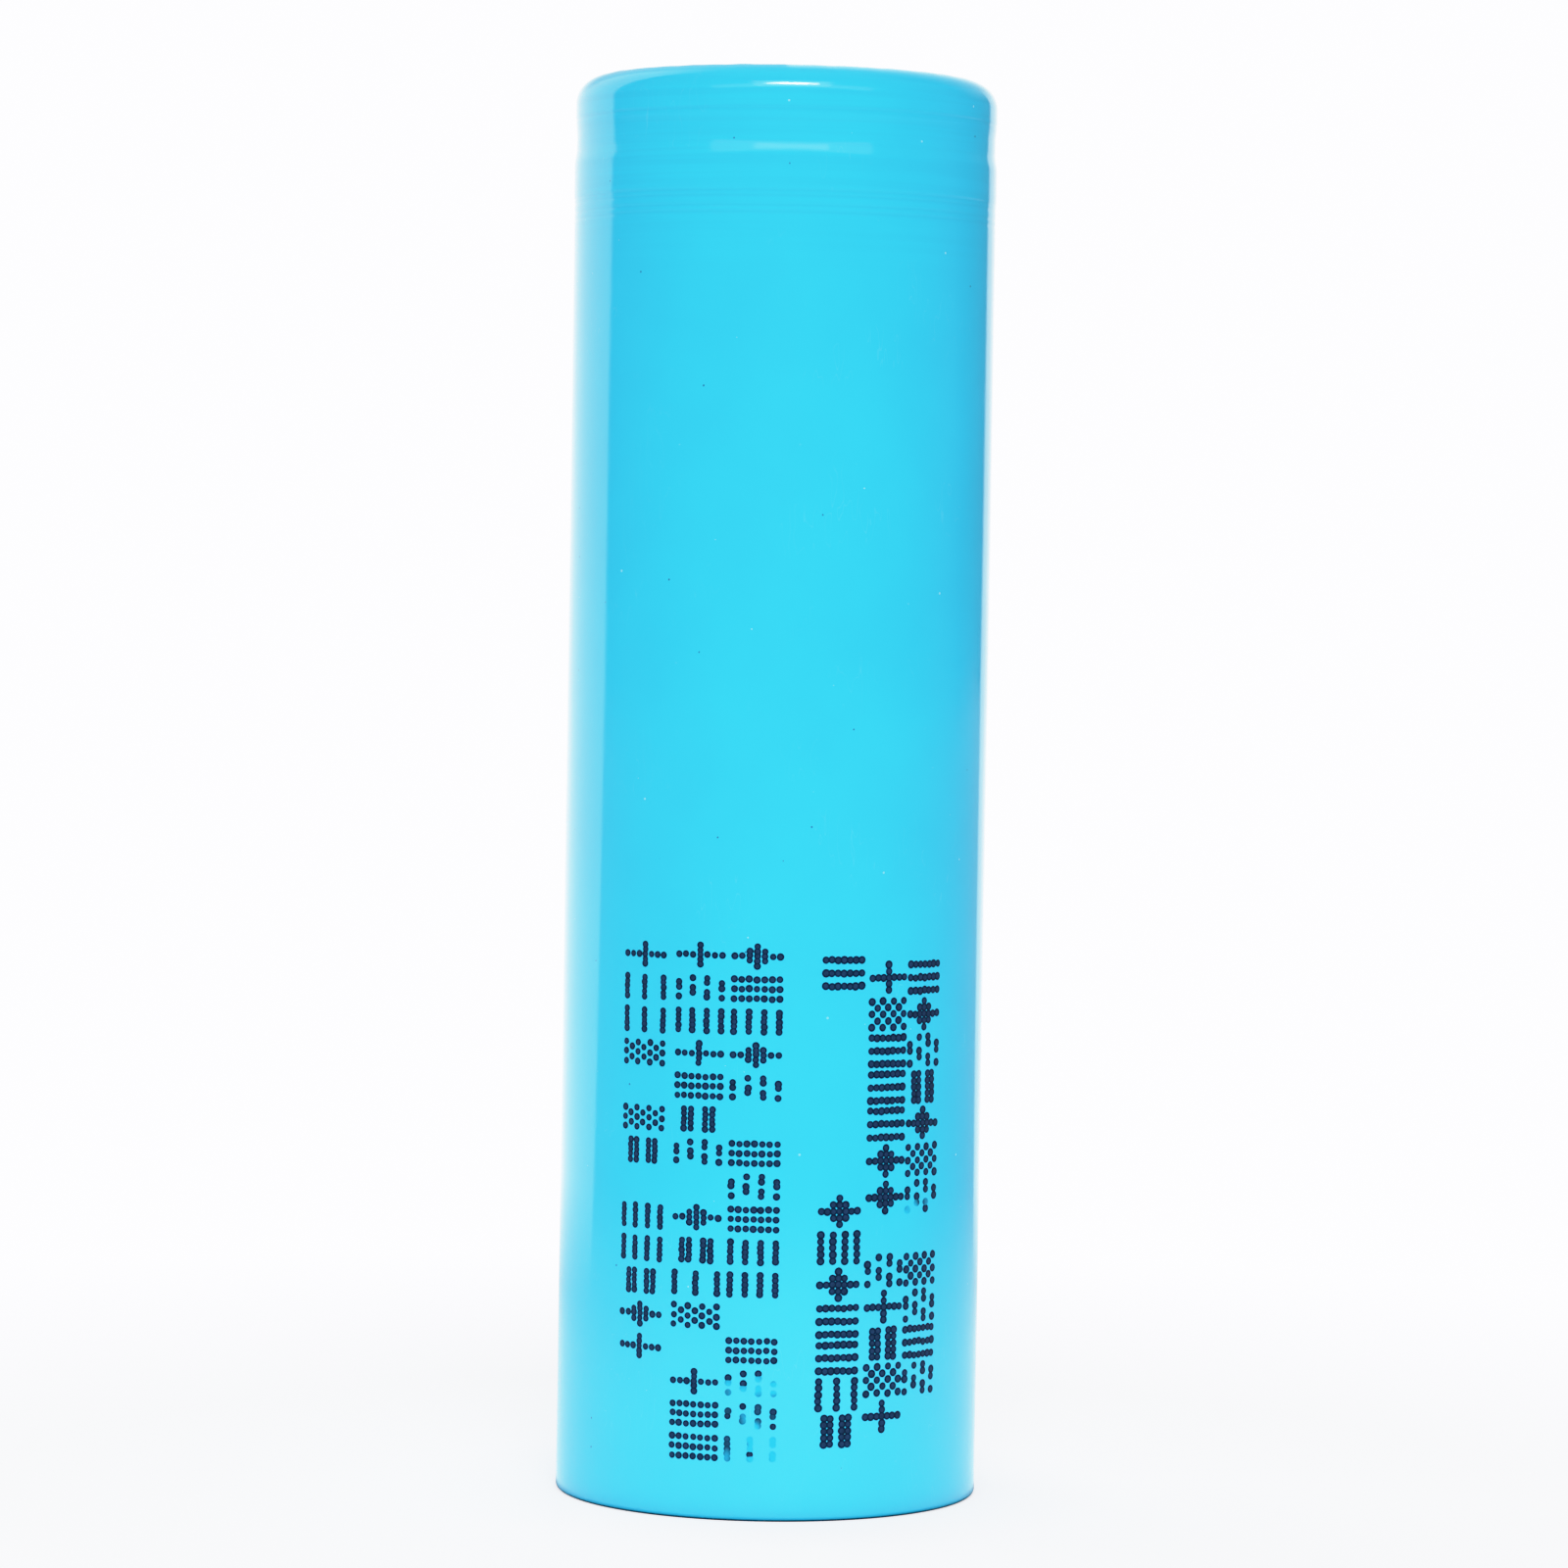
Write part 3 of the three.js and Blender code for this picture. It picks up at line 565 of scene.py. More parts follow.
def tape_look(name, colour):
    """Thin glossy tape: a faint cloud of glue under it, small bubbles and creases."""
    look = Look(name, colour, 0.25)
    cloud = look.scaled(look.noise(0.9 * MM, detail=5.0), 0.35, 0.7)
    base = look.blend(cloud, shade(colour, 0.8), shade(colour, 1.15))
    bubbles = look.specks(0.9 * MM, 0.16, 0.3)
    look.tint(look.math("MULTIPLY", bubbles, 0.35), base, shade(colour, 1.8))
    look.set("Roughness", look.scaled(cloud, 0, 1, 0.2, 0.34))
    look.bumps((bubbles, 0.006 * MM), (look.noise(1.1 * MM, (1, 1, 4)), 0.012 * MM))
    return look.material


def film_look():
    """Porous white film with faint stretch lines along its height."""
    colour = srgb(236, 238, 240)
    look = Look("separator_film", colour, 0.5)
    lines = look.noise(0.35 * MM, (1, 1, 25), 3.0)
    look.tint(look.scaled(lines, 0.3, 0.7), shade(colour, 0.9), shade(colour, 1.04))
    look.set("Roughness", look.scaled(lines, 0.3, 0.7, 0.42, 0.6))
    look.bumps((lines, 0.004 * MM), (look.noise(2 * MM), 0.015 * MM))
    return look.material


def ink_look(name, colour, worn=False):
    """Ink-jet ink, uneven in tone. Where it is worn, the film shows through in patches."""
    look = Look(name, colour, 0.45)
    look.set("Specular IOR Level", 0.15)
    look.set("Specular Tint", (0.3, 0.7, 1.0))
    tone = look.scaled(look.noise(0.25 * MM), 0.3, 0.7)
    ink = look.blend(tone, shade(colour, 0.75), shade(colour, 1.35))
    if worn:
        bare = look.scaled(look.noise(0.9 * MM, detail=1.0), 0.4, 0.62, 0.05, 0.85)
        ink = look.blend(bare, ink, FILM_CYAN)
    look.set("Base Color", ink)
    look.set("Roughness", look.scaled(tone, 0, 1, 0.38, 0.55))
    look.bumps((look.noise(0.08 * MM), 0.002 * MM))
    return look.material


NICKEL_STEEL = (0.60, 0.58, 0.54)
ALUMINIUM = (0.78, 0.79, 0.80)
UPRIGHT = (1, 1, 40)
ACROSS = (25, 1, 1)

FINISHES = {
    "sleeve_film": sleeve_look(),
    "ring_paper": paper_look(),
    "can_steel": metal_look("can_steel", NICKEL_STEEL, 0.3, UPRIGHT),
    "cap_steel": metal_look("cap_steel", shade(NICKEL_STEEL, 1.1), 0.27, ACROSS),
    "pin_steel": metal_look("pin_steel", shade(NICKEL_STEEL, 0.9), 0.33, UPRIGHT),
    "vent_aluminium": metal_look("vent_aluminium", ALUMINIUM, 0.34, ACROSS),
    "tab_aluminium": metal_look("tab_aluminium", shade(ALUMINIUM, 0.95), 0.38, UPRIGHT),
    "tab_nickel": metal_look("tab_nickel", (0.56, 0.53, 0.48), 0.3, UPRIGHT),
    "gasket_plastic": plastic_look("gasket_plastic", srgb(214, 224, 228), 0.45, 0.25 * MM, 0.003 * MM),
    "disc_plastic": weave_look(),
    "separator_film": film_look(),
    "cathode_coat": coat_look("cathode_coat", (0.028, 0.028, 0.031), 0.8, 0.15),
    "anode_coat": coat_look("anode_coat", (0.013, 0.013, 0.014), 0.6, 0.3),
    "tab_tape": tape_look("tab_tape", (0.50, 0.21, 0.025)),
    "roll_tape": tape_look("roll_tape", (0.05, 0.20, 0.42)),
}
PRINT_INKS = [
    ink_look("print_ink", INK),
    ink_look("print_ink_middle", INK_MIDDLE),
    ink_look("print_ink_worn", INK, worn=True),
    ink_look("print_ink_worn_middle", INK_MIDDLE, worn=True),
]

# ---------------- the sleeve

_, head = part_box("sleeve")
WALL = head.x  # radius of the film's outside
HEIGHT = head.z
rng = random.Random(SEED)


def ripples(counts, lengths=(1e9, 2e9)):
    """A smooth random function of angle and height, from -1 to 1, with waves of so many to a turn.

    lengths is how far up a wave takes to come round. By default it changes only with the angle.
    """
    terms = [(n, rng.uniform(0, TURN), TURN / rng.uniform(*lengths)) for n in counts]

    def value(angle, height=0.0):
        return sum(math.sin(n * angle + start + rate * height) for n, start, rate in terms) / len(terms)

    return value


def innermost_height(node, low, high):
    """The height at which a node's section comes nearest to the axis, between two heights."""
    chain, _ = section(node, 0)
    return min((point for point in chain if low < point[1] < high), key=lambda point: point[0])[1]


GROOVE = innermost_height("can", HEIGHT - 6 * MM, HEIGHT - 2 * MM)
DENT_SPAN = [GROOVE + h for h in DENT_REACH]
SWELL_SPAN = [GROOVE + h for h in SWELL_REACH]
wall_wave = ripples((2, 3, 3, 5), (18 * MM, 45 * MM))
line_wave = ripples((1, 2, 3))
pucker_wave = ripples((23, 31, 38, 47))
edge_wave = ripples((3, 7, 12, 19))


def hump(height, span):
    return ease(height, span[0], span[1]) * (1 - ease(height, span[2], span[3]))


def wall_offset(angle, height):
    """How far the sleeve's wall stands off its even radius."""
    offset = SWELL * hump(height, SWELL_SPAN) - DENT * hump(height, DENT_SPAN)
    for line in SHRINK_LINES:
        depth = SHRINK_LINE_DEPTH * (1 + 0.6 * line_wave(angle, line))
        offset -= depth * math.exp(-(((height - line) / SHRINK_LINE_WIDTH) ** 2))
    steady = ease(height, 0, 3 * MM) * (1 - ease(height, HEIGHT - 4 * MM, HEIGHT - 1.5 * MM))
    return offset + WAVE * steady * wall_wave(angle, height)


def sleeve_face(depth, holes, heights):
    """The film's surface at a depth below its outside, from the hole in the foot to the hole in the top."""
    foot_hole, top_hole = holes
    foot_edge, top_edge = WALL - FOOT, WALL - SHOULDER
    chain = [(foot_hole + k * (foot_edge - foot_hole) / FLAT_STEPS, depth) for k in range(FLAT_STEPS)]
    chain += quarter(foot_edge, FOOT, FOOT - depth, -1, FOOT_STEPS)
    chain += [(WALL - depth, height) for height in heights]
    chain += quarter(top_edge, HEIGHT - SHOULDER, SHOULDER - depth, 0, SHOULDER_STEPS)
    over_top = [top_hole + k * (top_edge - top_hole) / FLAT_STEPS for k in reversed(range(FLAT_STEPS))]
    return chain + [(radius, HEIGHT - depth) for radius in over_top]


def sleeve_point(radius, angle, height):
    """A point of the film's even shape, moved by its dents, its puckers and its ragged edges."""
    over_end = 1 - ease(radius, WALL - PUCKER_SPAN[0], WALL - PUCKER_SPAN[1])
    lift = PUCKER * over_end * (0.5 + 0.5 * pucker_wave(angle))
    if height < HEIGHT / 2:
        lift *= FOOT_PUCKER
    shift = RAGGED * edge_wave(angle + height) * (1 - ease(radius, *RAGGED_SPAN))
    return radius + shift + wall_offset(angle, height) * (1 - over_end), angle, height + lift


def make_sleeve():
    chain, _ = section("sleeve", 0)
    holes = [min(r for r, z in chain if (z > HEIGHT / 2) == upper) for upper in (False, True)]
    fine_from = SHRINK_LINES[-1] - 0.3 * MM
    low = [FOOT + (fine_from - FOOT) * k / LOW_STEPS for k in range(1, LOW_STEPS)]
    top = HEIGHT - SHOULDER
    high = [fine_from + (top - fine_from) * k / HIGH_STEPS for k in range(HIGH_STEPS)]
    outside = sleeve_face(0, holes, low + high)
    inside = sleeve_face(FILM, holes, low[::4] + high[::4])
    piece = turned("sleeve_film", outside + inside[::-1], True, SLEEVE_SIDES, sleeve_point)
    keep(piece, "sleeve", "sleeve_film")


# ---------------- the print


GLYPHS = [
    lambda c, r: (c + r) % 2 == 0,  # fine checks
    lambda c, r: abs(c - 2) * 1.5 + abs(r - 3) <= 3,  # filled diamond
    lambda c, r: c == 2 or r == 3,  # cross
    lambda c, r: r % 3 == 0,  # three bars
    lambda c, r: r % 2 == 0,  # four bars
    lambda c, r: c % 2 == 0,  # three bars across
    lambda c, r: r % 2 == 0 and (c + r // 2) % 3 > 0,  # broken bars
    lambda c, r: r % 3 > 0,  # two thick bars
]
GLYPH_COLUMNS, GLYPH_ROWS = 5, 7
INK_RISE = 0.007 * MM
DOT_SIDES = 12
DOT_MIDDLE = 0.58  # radius of a dot's flat middle, as a share of the dot's
DOT_SIZES = (0.92, 1.08)
WANDER_ROUND = 0.008 * MM  # how far the dots stray, round the wall and along it
WANDER_ALONG = 0.012 * MM
RUBBED_SHARE = 0.85  # of the dots in a rubbed stretch
LOST_SHARE = 0.08  # of the rubbed dots

Dots = namedtuple("Dots", "advance pitch step radius")  # from mark to mark, row to row, column to column
SMALL = Dots(1.6 * MM, 0.37 * MM, 0.235 * MM, 0.175 * MM)
LARGE = Dots(1.79 * MM, 0.31 * MM, 0.32 * MM, 0.2 * MM)
FRONT = -TURN / 4  # the printed side faces -Y
# Each line's dots, angle from the front in degrees, top, count of marks in each word, and rubbed stretch.
LINES = [
    (SMALL, -4.15, 28.2 * MM, (5, 5, 4), (2.5 * MM, 7 * MM)),
    (SMALL, -19.6, 28.2 * MM, (7, 4, 3), None),
    (SMALL, -36.3, 28.1 * MM, (4, 2, 5), None),
    (LARGE, 44.8, 27.3 * MM, (7, 4), (13 * MM, 15.5 * MM)),
    (LARGE, 32.4, 27.35 * MM, (7, 5), None),
    (LARGE, 19.1, 27.6 * MM, (1,), None),
    (LARGE, 18.9, 16.0 * MM, (7,), None),
]


class Print:
    """Ink dots on the sleeve's wall, gathered into one mesh."""

    def __init__(self):
        self.points, self.faces, self.inks = [], [], []

    def ring(self, angle, height, radius, rise):
        """Points round a place on the wall. Returns their numbers."""
        first = len(self.points)
        for k in range(DOT_SIDES):
            a = angle + radius * math.cos(TURN * k / DOT_SIDES) / WALL
            h = height + radius * math.sin(TURN * k / DOT_SIDES)
            self.points.append(polar(WALL + wall_offset(a, h) + rise, a, h))
        return list(range(first, first + DOT_SIDES))

    def dot(self, angle, height, radius, worn):
        under = self.ring(angle, height, radius, -INK_RISE)
        edge = self.ring(angle, height, radius, INK_RISE * 0.5)
        top = self.ring(angle, height, radius * DOT_MIDDLE, INK_RISE)
        new = [tuple(top), tuple(reversed(under))] + band(under, edge) + band(edge, top)
        self.faces += new
        edge_ink, middle_ink = (2, 3) if worn else (0, 1)  # their places in PRINT_INKS
        self.inks += [middle_ink] + [edge_ink] * (len(new) - 1)

    def mark(self, dots, glyph, angle, top, rub):
        for c in range(GLYPH_COLUMNS):
            for r in range(GLYPH_ROWS):
                if not glyph(c, r):
                    continue
                a = angle + (3 - r) * dots.pitch / WALL + rng.gauss(0, WANDER_ROUND) / WALL
                h = top - dots.radius - c * dots.step + rng.gauss(0, WANDER_ALONG)
                radius = dots.radius * rng.uniform(*DOT_SIZES)
                rubbed = rub is not None and rub[0] < h < rub[1] and rng.random() < RUBBED_SHARE
                if rubbed and rng.random() < LOST_SHARE:
                    continue
                self.dot(a, h, radius, rubbed)

    def line(self, dots, angle, top, words, rub):
        """A line of marks that reads down the wall, in words of so many marks."""
        for word in words:
            for _ in range(word):
                self.mark(dots, rng.choice(GLYPHS), angle, top, rub)
                top -= dots.advance
            top -= dots.advance


def make_print():
    marks = Print()
    for dots, degrees, top, words, rub in LINES:
        marks.line(dots, FRONT + math.radians(degrees), top, words, rub)
    piece = mesh_object("sleeve_print", marks.points, marks.faces)
    for look in PRINT_INKS:
        piece.data.materials.append(look)
    piece.data.polygons.foreach_set("material_index", marks.inks)
    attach(piece, "cell")


# ---------------- turned pieces


def fine(node, angle=0.0, chain_change=None, moved=None):
    """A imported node's section, with soft corners, turned again in fine steps."""
    chain, closed = section(node, angle)
    chain = softened(chain, closed)
    if chain_change:
        chain = chain_change(chain)
    return turned(node + "_fine", chain, closed, moved=moved)


WELD_OFF_AXIS = 1.1 * MM  # each of the two spot welds in the can's floor
WELD_REACH = 0.38 * MM
WELD_DEPTH = 0.05 * MM
WELDS_WITHIN = 3 * MM  # both welds are well inside this radius
FLOOR_BELOW = 1 * MM  # the can's floor lies below this height
FLOOR_STEP = 0.2 * MM
CURL = 0.012 * MM  # how uneven the paper ring is


def welded_floor(radius, angle, height):
    """The can's floor, pushed in where the negative tab is spot-welded to it."""
    if radius >= WELDS_WITHIN or height >= FLOOR_BELOW:
        return radius, angle, height
    x, y = radius * math.cos(angle), radius * math.sin(angle)
    lift = 0.0
    for side in (-1, 1):
        away = math.hypot(x - side * WELD_OFF_AXIS, y)
        lift += WELD_DEPTH * math.exp(-((away / WELD_REACH) ** 2))
    return radius, angle, height + lift


def split_floor(chain):
    """The can's chain with the flats of its floor split, so that the weld marks have points to move."""
    result = chain[:1]
    for here, after in zip(chain, chain[1:]):
        flat = abs(here[1] - after[1]) < 0.01 * MM
        if flat and max(here[1], after[1]) < FLOOR_BELOW:
            here, end = Vector(here), Vector(after)
            parts = math.ceil((end - here).length / FLOOR_STEP)
            result += [tuple(here.lerp(end, k / parts)) for k in range(1, parts)]
        result.append(after)
    return result


def make_shell():
    make_sleeve()
    make_print()
    keep(fine("can", chain_change=split_floor, moved=welded_floor), "can", "can_steel")
    wave = ripples((3, 5, 8))
    ring = fine("top_insulating_ring", moved=lambda r, a, z: (r, a, z + CURL * wave(a)))
    keep(ring, "top_insulating_ring", "ring_paper")


# The openings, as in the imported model.
CAP_WINDOWS = 4
CAP_WINDOW = (3.4 * MM, 6.7 * MM, 3.4 * MM)  # inner end, outer end, width
CONTACT_HOLES = (6, 0.55 * MM, 4.1 * MM)  # count, radius, distance from the axis
GAS_HOLES = (6, 0.7 * MM, 3.7 * MM)
SLOT_CLEAR = 0.4 * MM


def ring_of_posts(holes, bottom, top):
    count, radius, circle = holes
    places = [polar(circle, TURN * k / count, 0) for k in range(count)]
    return [post(radius, place.x, place.y, bottom - MM, top + MM) for place in places]


def make_header():
    low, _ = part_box("positive_cap")
    chain, _ = section("positive_cap", 0)
    under_face = min(z for r, z in chain if r < 1 * MM)
    angles = [(k + 0.5) * TURN / CAP_WINDOWS for k in range(CAP_WINDOWS)]
    cutters = [window(*CAP_WINDOW, angle, low.z - MM, under_face) for angle in angles]
    keep(pierced(fine("positive_cap"), cutters), "positive_cap", "cap_steel")
    low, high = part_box("contact_disc")
    contact = pierced(fine("contact_disc", TURN / 4), ring_of_posts(CONTACT_HOLES, low.z, high.z))
    keep(contact, "contact_disc", "vent_aluminium")
    for node in ("vent_disc", "vent_diaphragm", "sub_plate"):
        keep(fine(node), node, "vent_aluminium")
    for node in ("crimp_gasket", "cid_insulator"):
        keep(fine(node), node, "gasket_plastic")


# ---------------- the roll


def spiral(angle, face=0.0):
    return CORE + PITCH * angle / TURN + face


def step_angle(step):
    return step * TURN / CAD_STEPS


def even_angles(first_step, last_step):
    count = math.ceil((last_step - first_step) * STEPS_PER_TURN / CAD_STEPS)
    return [step_angle(first_step + (last_step - first_step) * k / count) for k in range(count + 1)]


def oblong(inner, outer, bottom, top):
    return [(inner, bottom), (outer, bottom), (outer, top), (inner, top)]


def make_separator(node, face, steps):
    low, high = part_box(node)
    wave = ripples((1, 2, 5))

    def loop(angle):
        bottom, top = low.z + FILM_UNEVEN * wave(angle * 1.7), high.z + FILM_UNEVEN * wave(angle)
        return oblong(spiral(angle, face), spiral(angle, face + FILM_THICK), bottom, top)

    keep(swept(node + "_fine", loop, even_angles(*steps)), node, "separator_film")


def tab_span(tab):
    """1 for a tab that goes up or -1 for one that goes down, and the heights of its start and its end."""
    low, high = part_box(tab)
    way = 1 if low.z + high.z > HEIGHT else -1
    return way, *(low.z, high.z)[::way]


def make_electrode(node, tab, face, thick, steps, tab_steps):
    """A wound strip with a bare patch for its tab, and a notch beyond the patch for the tab's tape."""
    way, tab_start, _ = tab_span(tab)
    plain_end, tab_side = [corner.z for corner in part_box(node)][::way]
    patch = tab_start - way * MM
    window_from, window_to = step_angle(tab_steps[0] - 1), step_angle(tab_steps[1] + 1)

    def loop(angle):
        inner, outer = spiral(angle, face), spiral(angle, face + thick)
        bare = window_from < angle < window_to
        floor = outer - TAB_WINDOW if bare else outer
        end = tab_side - way * TAB_NOTCH if bare else tab_side
        below_patch = [(inner, plain_end), (outer, plain_end), (outer, patch)]
        return below_patch + [(floor, patch + way * 0.05 * MM), (floor, end), (inner, end)]

    angles = even_angles(*steps)
    for edge in (window_from, window_to):
        angles += [edge - WINDOW_STEP, edge + WINDOW_STEP]
    keep(swept(node + "_fine", loop, sorted(angles)), node, node + "_coat")


def tab_rows(flat, start, roll_end, end, way, bend):
    """(reach, height, lean) of each row of a tab: along the roll, clear of it, round the bend and across."""
    across = end - way * TAB_THICK / 2
    leave = across - way * bend
    rows = [(flat, start + (roll_end - start) * k / 6, 0.0) for k in range(7)]
    rows += [(flat, roll_end + (leave - roll_end) * k / 8, 0.0) for k in range(1, 9)]
    for k in range(1, 9):
        a = k / 8 * TURN / 4
        rows.append((flat - bend * (1 - math.cos(a)), leave + way * bend * math.sin(a), a))
    return rows + [(flat - bend + (TAB_END - flat + bend) * k / 6, across, TURN / 4) for k in range(1, 7)]


def tab_loop(row, middle, half, face, way, flatness):
    """The points round a tab at one row, where it is anything from curved as it is wound to flat."""
    reach, height, lean = row
    half_width = spiral(middle, face) * math.sin(half)
    outside, inside = [], []
    for c in range(TAB_COLUMNS + 1):
        share = 2 * c / TAB_COLUMNS - 1
        turn = half * share
        curved = polar(spiral(middle + turn, face), turn, height)
        place = curved.lerp(Vector((reach, half_width * share, height)), flatness)
        facing = polar(1, turn, 0).lerp(Vector((1, 0, 0)), flatness).normalized()
        facing = facing * math.cos(lean) + Vector((0, 0, way * math.sin(lean)))
        outside.append(place + facing * TAB_THICK / 2)
        inside.append(place - facing * TAB_THICK / 2)
    return outside + inside[::-1]


def make_tab(node, steps, face, bend, slot):
    """A strap that lies curved in the winding, then flattens and bends across the axis."""
    way, start, end = tab_span(node)
    roll_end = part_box("inner_separator")[max(0, way)].z
    middle, half = step_angle(sum(steps) / 2), step_angle(steps[1] - steps[0]) / 2
    centre = face + TAB_THICK / 2
    flat = spiral(middle, centre) * math.cos(half)
    loops = []
    for row in tab_rows(flat, start, roll_end, end, way, bend):
        flatness = ease(way * (row[1] - roll_end), *FLATTENS)
        loops.append(tab_loop(row, middle, half, centre, way, flatness))
    turned_out = Matrix.Rotation(middle, 4, "Z")
    loops = [[turned_out @ point for point in loop] for loop in loops]
    keep(tube(node + "_fine", loops, ARC_TURN), node, slot)


def make_tab_tape(node, steps, face):
    low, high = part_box(node)

    def loop(angle):
        return oblong(spiral(angle, face), spiral(angle, face + TAPE_THICK), low.z, high.z)

    keep(swept(node + "_fine", loop, even_angles(*steps)), node, "tab_tape")


def make_tube(node, thick, turn_share, slot):
    """A slit tube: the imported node's radius and height, round a share of a full turn."""
    low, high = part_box(node)
    chain = softened(oblong(high.x - thick, high.x, low.z, high.z), True, thick * 0.4)
    count = math.ceil(ROUND_SIDES * turn_share)
    angles = [turn_share * TURN * k / count for k in range(count + 1)]
    keep(swept(node + "_fine", lambda angle: chain, angles), node, slot)


def slotted(node, steps, face, holes, slot_end):
    """An insulating disc with a slot for a tab, and gas holes where it has them."""
    low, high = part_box(node)
    middle, half = step_angle(sum(steps) / 2), step_angle(steps[1] - steps[0]) / 2
    radius = spiral(middle, face)
    inner, width = radius * math.cos(half) - SLOT_CLEAR, 2 * (radius * math.sin(half) + SLOT_CLEAR)
    outer = slot_end or radius + TAB_THICK + SLOT_CLEAR
    cutters = [window(inner, outer, width, middle, low.z - MM, high.z + MM)]
    if holes:
        cutters += ring_of_posts(holes, low.z, high.z)
    keep(pierced(fine(node, TURN / 4), cutters), node, "disc_plastic")


def make_roll():
    positive_face = CATHODE_FACE + CATHODE_THICK - TAB_THICK
    negative_face = ANODE_FACE + ANODE_THICK - TAB_THICK
    make_separator("inner_separator", 0, INNER_FILM_STEPS)
    make_separator("outer_separator", OUTER_FILM_FACE, OUTER_FILM_STEPS)
    positive, negative = POSITIVE_TAB_STEPS, NEGATIVE_TAB_STEPS
    make_electrode("cathode", "positive_tab", CATHODE_FACE, CATHODE_THICK, CATHODE_STEPS, positive)
    make_electrode("anode", "negative_tab", ANODE_FACE, ANODE_THICK, ANODE_STEPS, negative)
    make_tab("positive_tab", positive, positive_face, TAB_BEND, "tab_aluminium")
    make_tab("negative_tab", negative, negative_face, TAB_BEND / 2, "tab_nickel")
    make_tab_tape("positive_tab_tape", positive, CATHODE_FACE)
    make_tab_tape("negative_tab_tape", negative, ANODE_FACE)
    make_tube("centre_pin", PIN_THICK, PIN_TURN, "pin_steel")
    for node in ("upper_roll_tape", "lower_roll_tape"):
        make_tube(node, TAPE_THICK, TAPE_TURN, "roll_tape")
    slotted("upper_insulator", positive, positive_face, GAS_HOLES, None)
    slotted("lower_insulator", negative, negative_face, None, WALL)


make_shell()
make_header()
make_roll()

# ---------------- stage, light and camera

FLOOR_SIZE = 3.0
PALE = (1.65, 1.65, 1.85)  # the backdrop and the far floor, past the white of the tone curve
SEEN_FLOOR = (40 * MM, 100 * MM)  # where the floor that the camera sees turns into the backdrop
SEEN_SHADE = (10.6 * MM, 18 * MM, 0.68, 0.77)  # how bright that floor's glow is by the cell and away from it: painted shade by the cell
NEAR_FLOOR = (60 * MM, 150 * MM)  # where the floor that lights the cell turns into the surround
FOOT_SHADE = (10.5 * MM, 11.5 * MM)  # painted shade: where the floor's bounce and glow fade out under the cell
NEAR_BOUNCE = 0.93  # what the floor by the cell sends back of the light on it, and its glow, a painted pool of light around the cell
NEAR_GLOW = 0.5
NEAR_TINT = (0.86, 0.96, 1.0)  # painted bounce light: it is tinted with some of the cell's colour
ROOM_TINT = (0.97, 0.985, 1.0)
SEEN_PAPER = (0.55, 0.55, 0.56)
# painted bounce light: the seen floor's glow is faintly blue from the cell
SEEN_TINT = (0.97, 0.985, 1.04)
HIGH_FROM = (10, 22)  # elevations over which the studio changes to its high part, in degrees
OVERHEAD_FROM = (50, 70)  # and over which it turns to its overhead brightness
OVERHEAD = 0.5
CAMERA_DISTANCE = 283.2 * MM
CAMERA_HEIGHT = 46.07 * MM
CAMERA_PITCH = 0.0372  # downwards, in radians
CAMERA_YAW = 0.0014
CAMERA_ROLL = 0.01618
CAMERA_LENS = 129.53
# The studio round the cell, low down and higher up: (azimuth in degrees, brightness). 0 is the camera's side.
FRONT_HALF = [(-107.8, 0.28), (-85, 0.4), (-45, 0.46), (0, 0.5), (60, 0.43), (100, 0.39), (116, 0.25)]
ROOM_LOW = [(-180, 1.85), (-109.8, 1.85), *FRONT_HALF, (145.5, 0.2), (148, 1.5), (180, 1.85)]
ROOM_HIGH = [(-180, 0.85), (-152, 0.85), (-144, 1.7), (-109.8, 1.7), *FRONT_HALF, (150, 0.85), (180, 0.85)]
KEY_AZIMUTH = 3
KEY_DISTANCE = 0.61
KEY_STEP = 0.01  # each layer hangs this much nearer than the one before
KEY_TINT = (1.0, 0.99, 0.97)
# (elevation, width, height, radiance) of the key light's layers: a wide glow, then brighter to the middle.
KEY_LAYERS = [(25, 1.1, 0.16, 0.8), (33, 0.42, 0.24, 1.8), (33, 0.27, 0.09, 13.5), (33, 0.15, 0.06, 29.0)]
# The camera's tone: even up to the middle, then held back towards white. (brightness, shown brightness)
TONE = [(0, 0), (0.25, 0.25), (0.5, 0.5), (0.8, 0.755), (1.0, 0.86), (1.4, 0.955), (2.0, 1.0)]


def room_level(tree, x, y, levels):
    """The studio's brightness in the direction of x and y."""
    azimuth = tree.math("ARCTAN2", x, tree.math("MULTIPLY", y, -1.0))
    ramp = tree.add("ValToRGB", {"Fac": tree.scaled(azimuth, -math.pi, math.pi)})
    stops = ramp.color_ramp.elements
    for degrees, level in levels:
        stop = stops.new((degrees + 180) / 360)
        stop.color = (level / 2, level / 2, level / 2, 1)
    stops.remove(stops[0])
    stops.remove(stops[-1])
    return tree.math("MULTIPLY", ramp.outputs["Color"], 2.0)


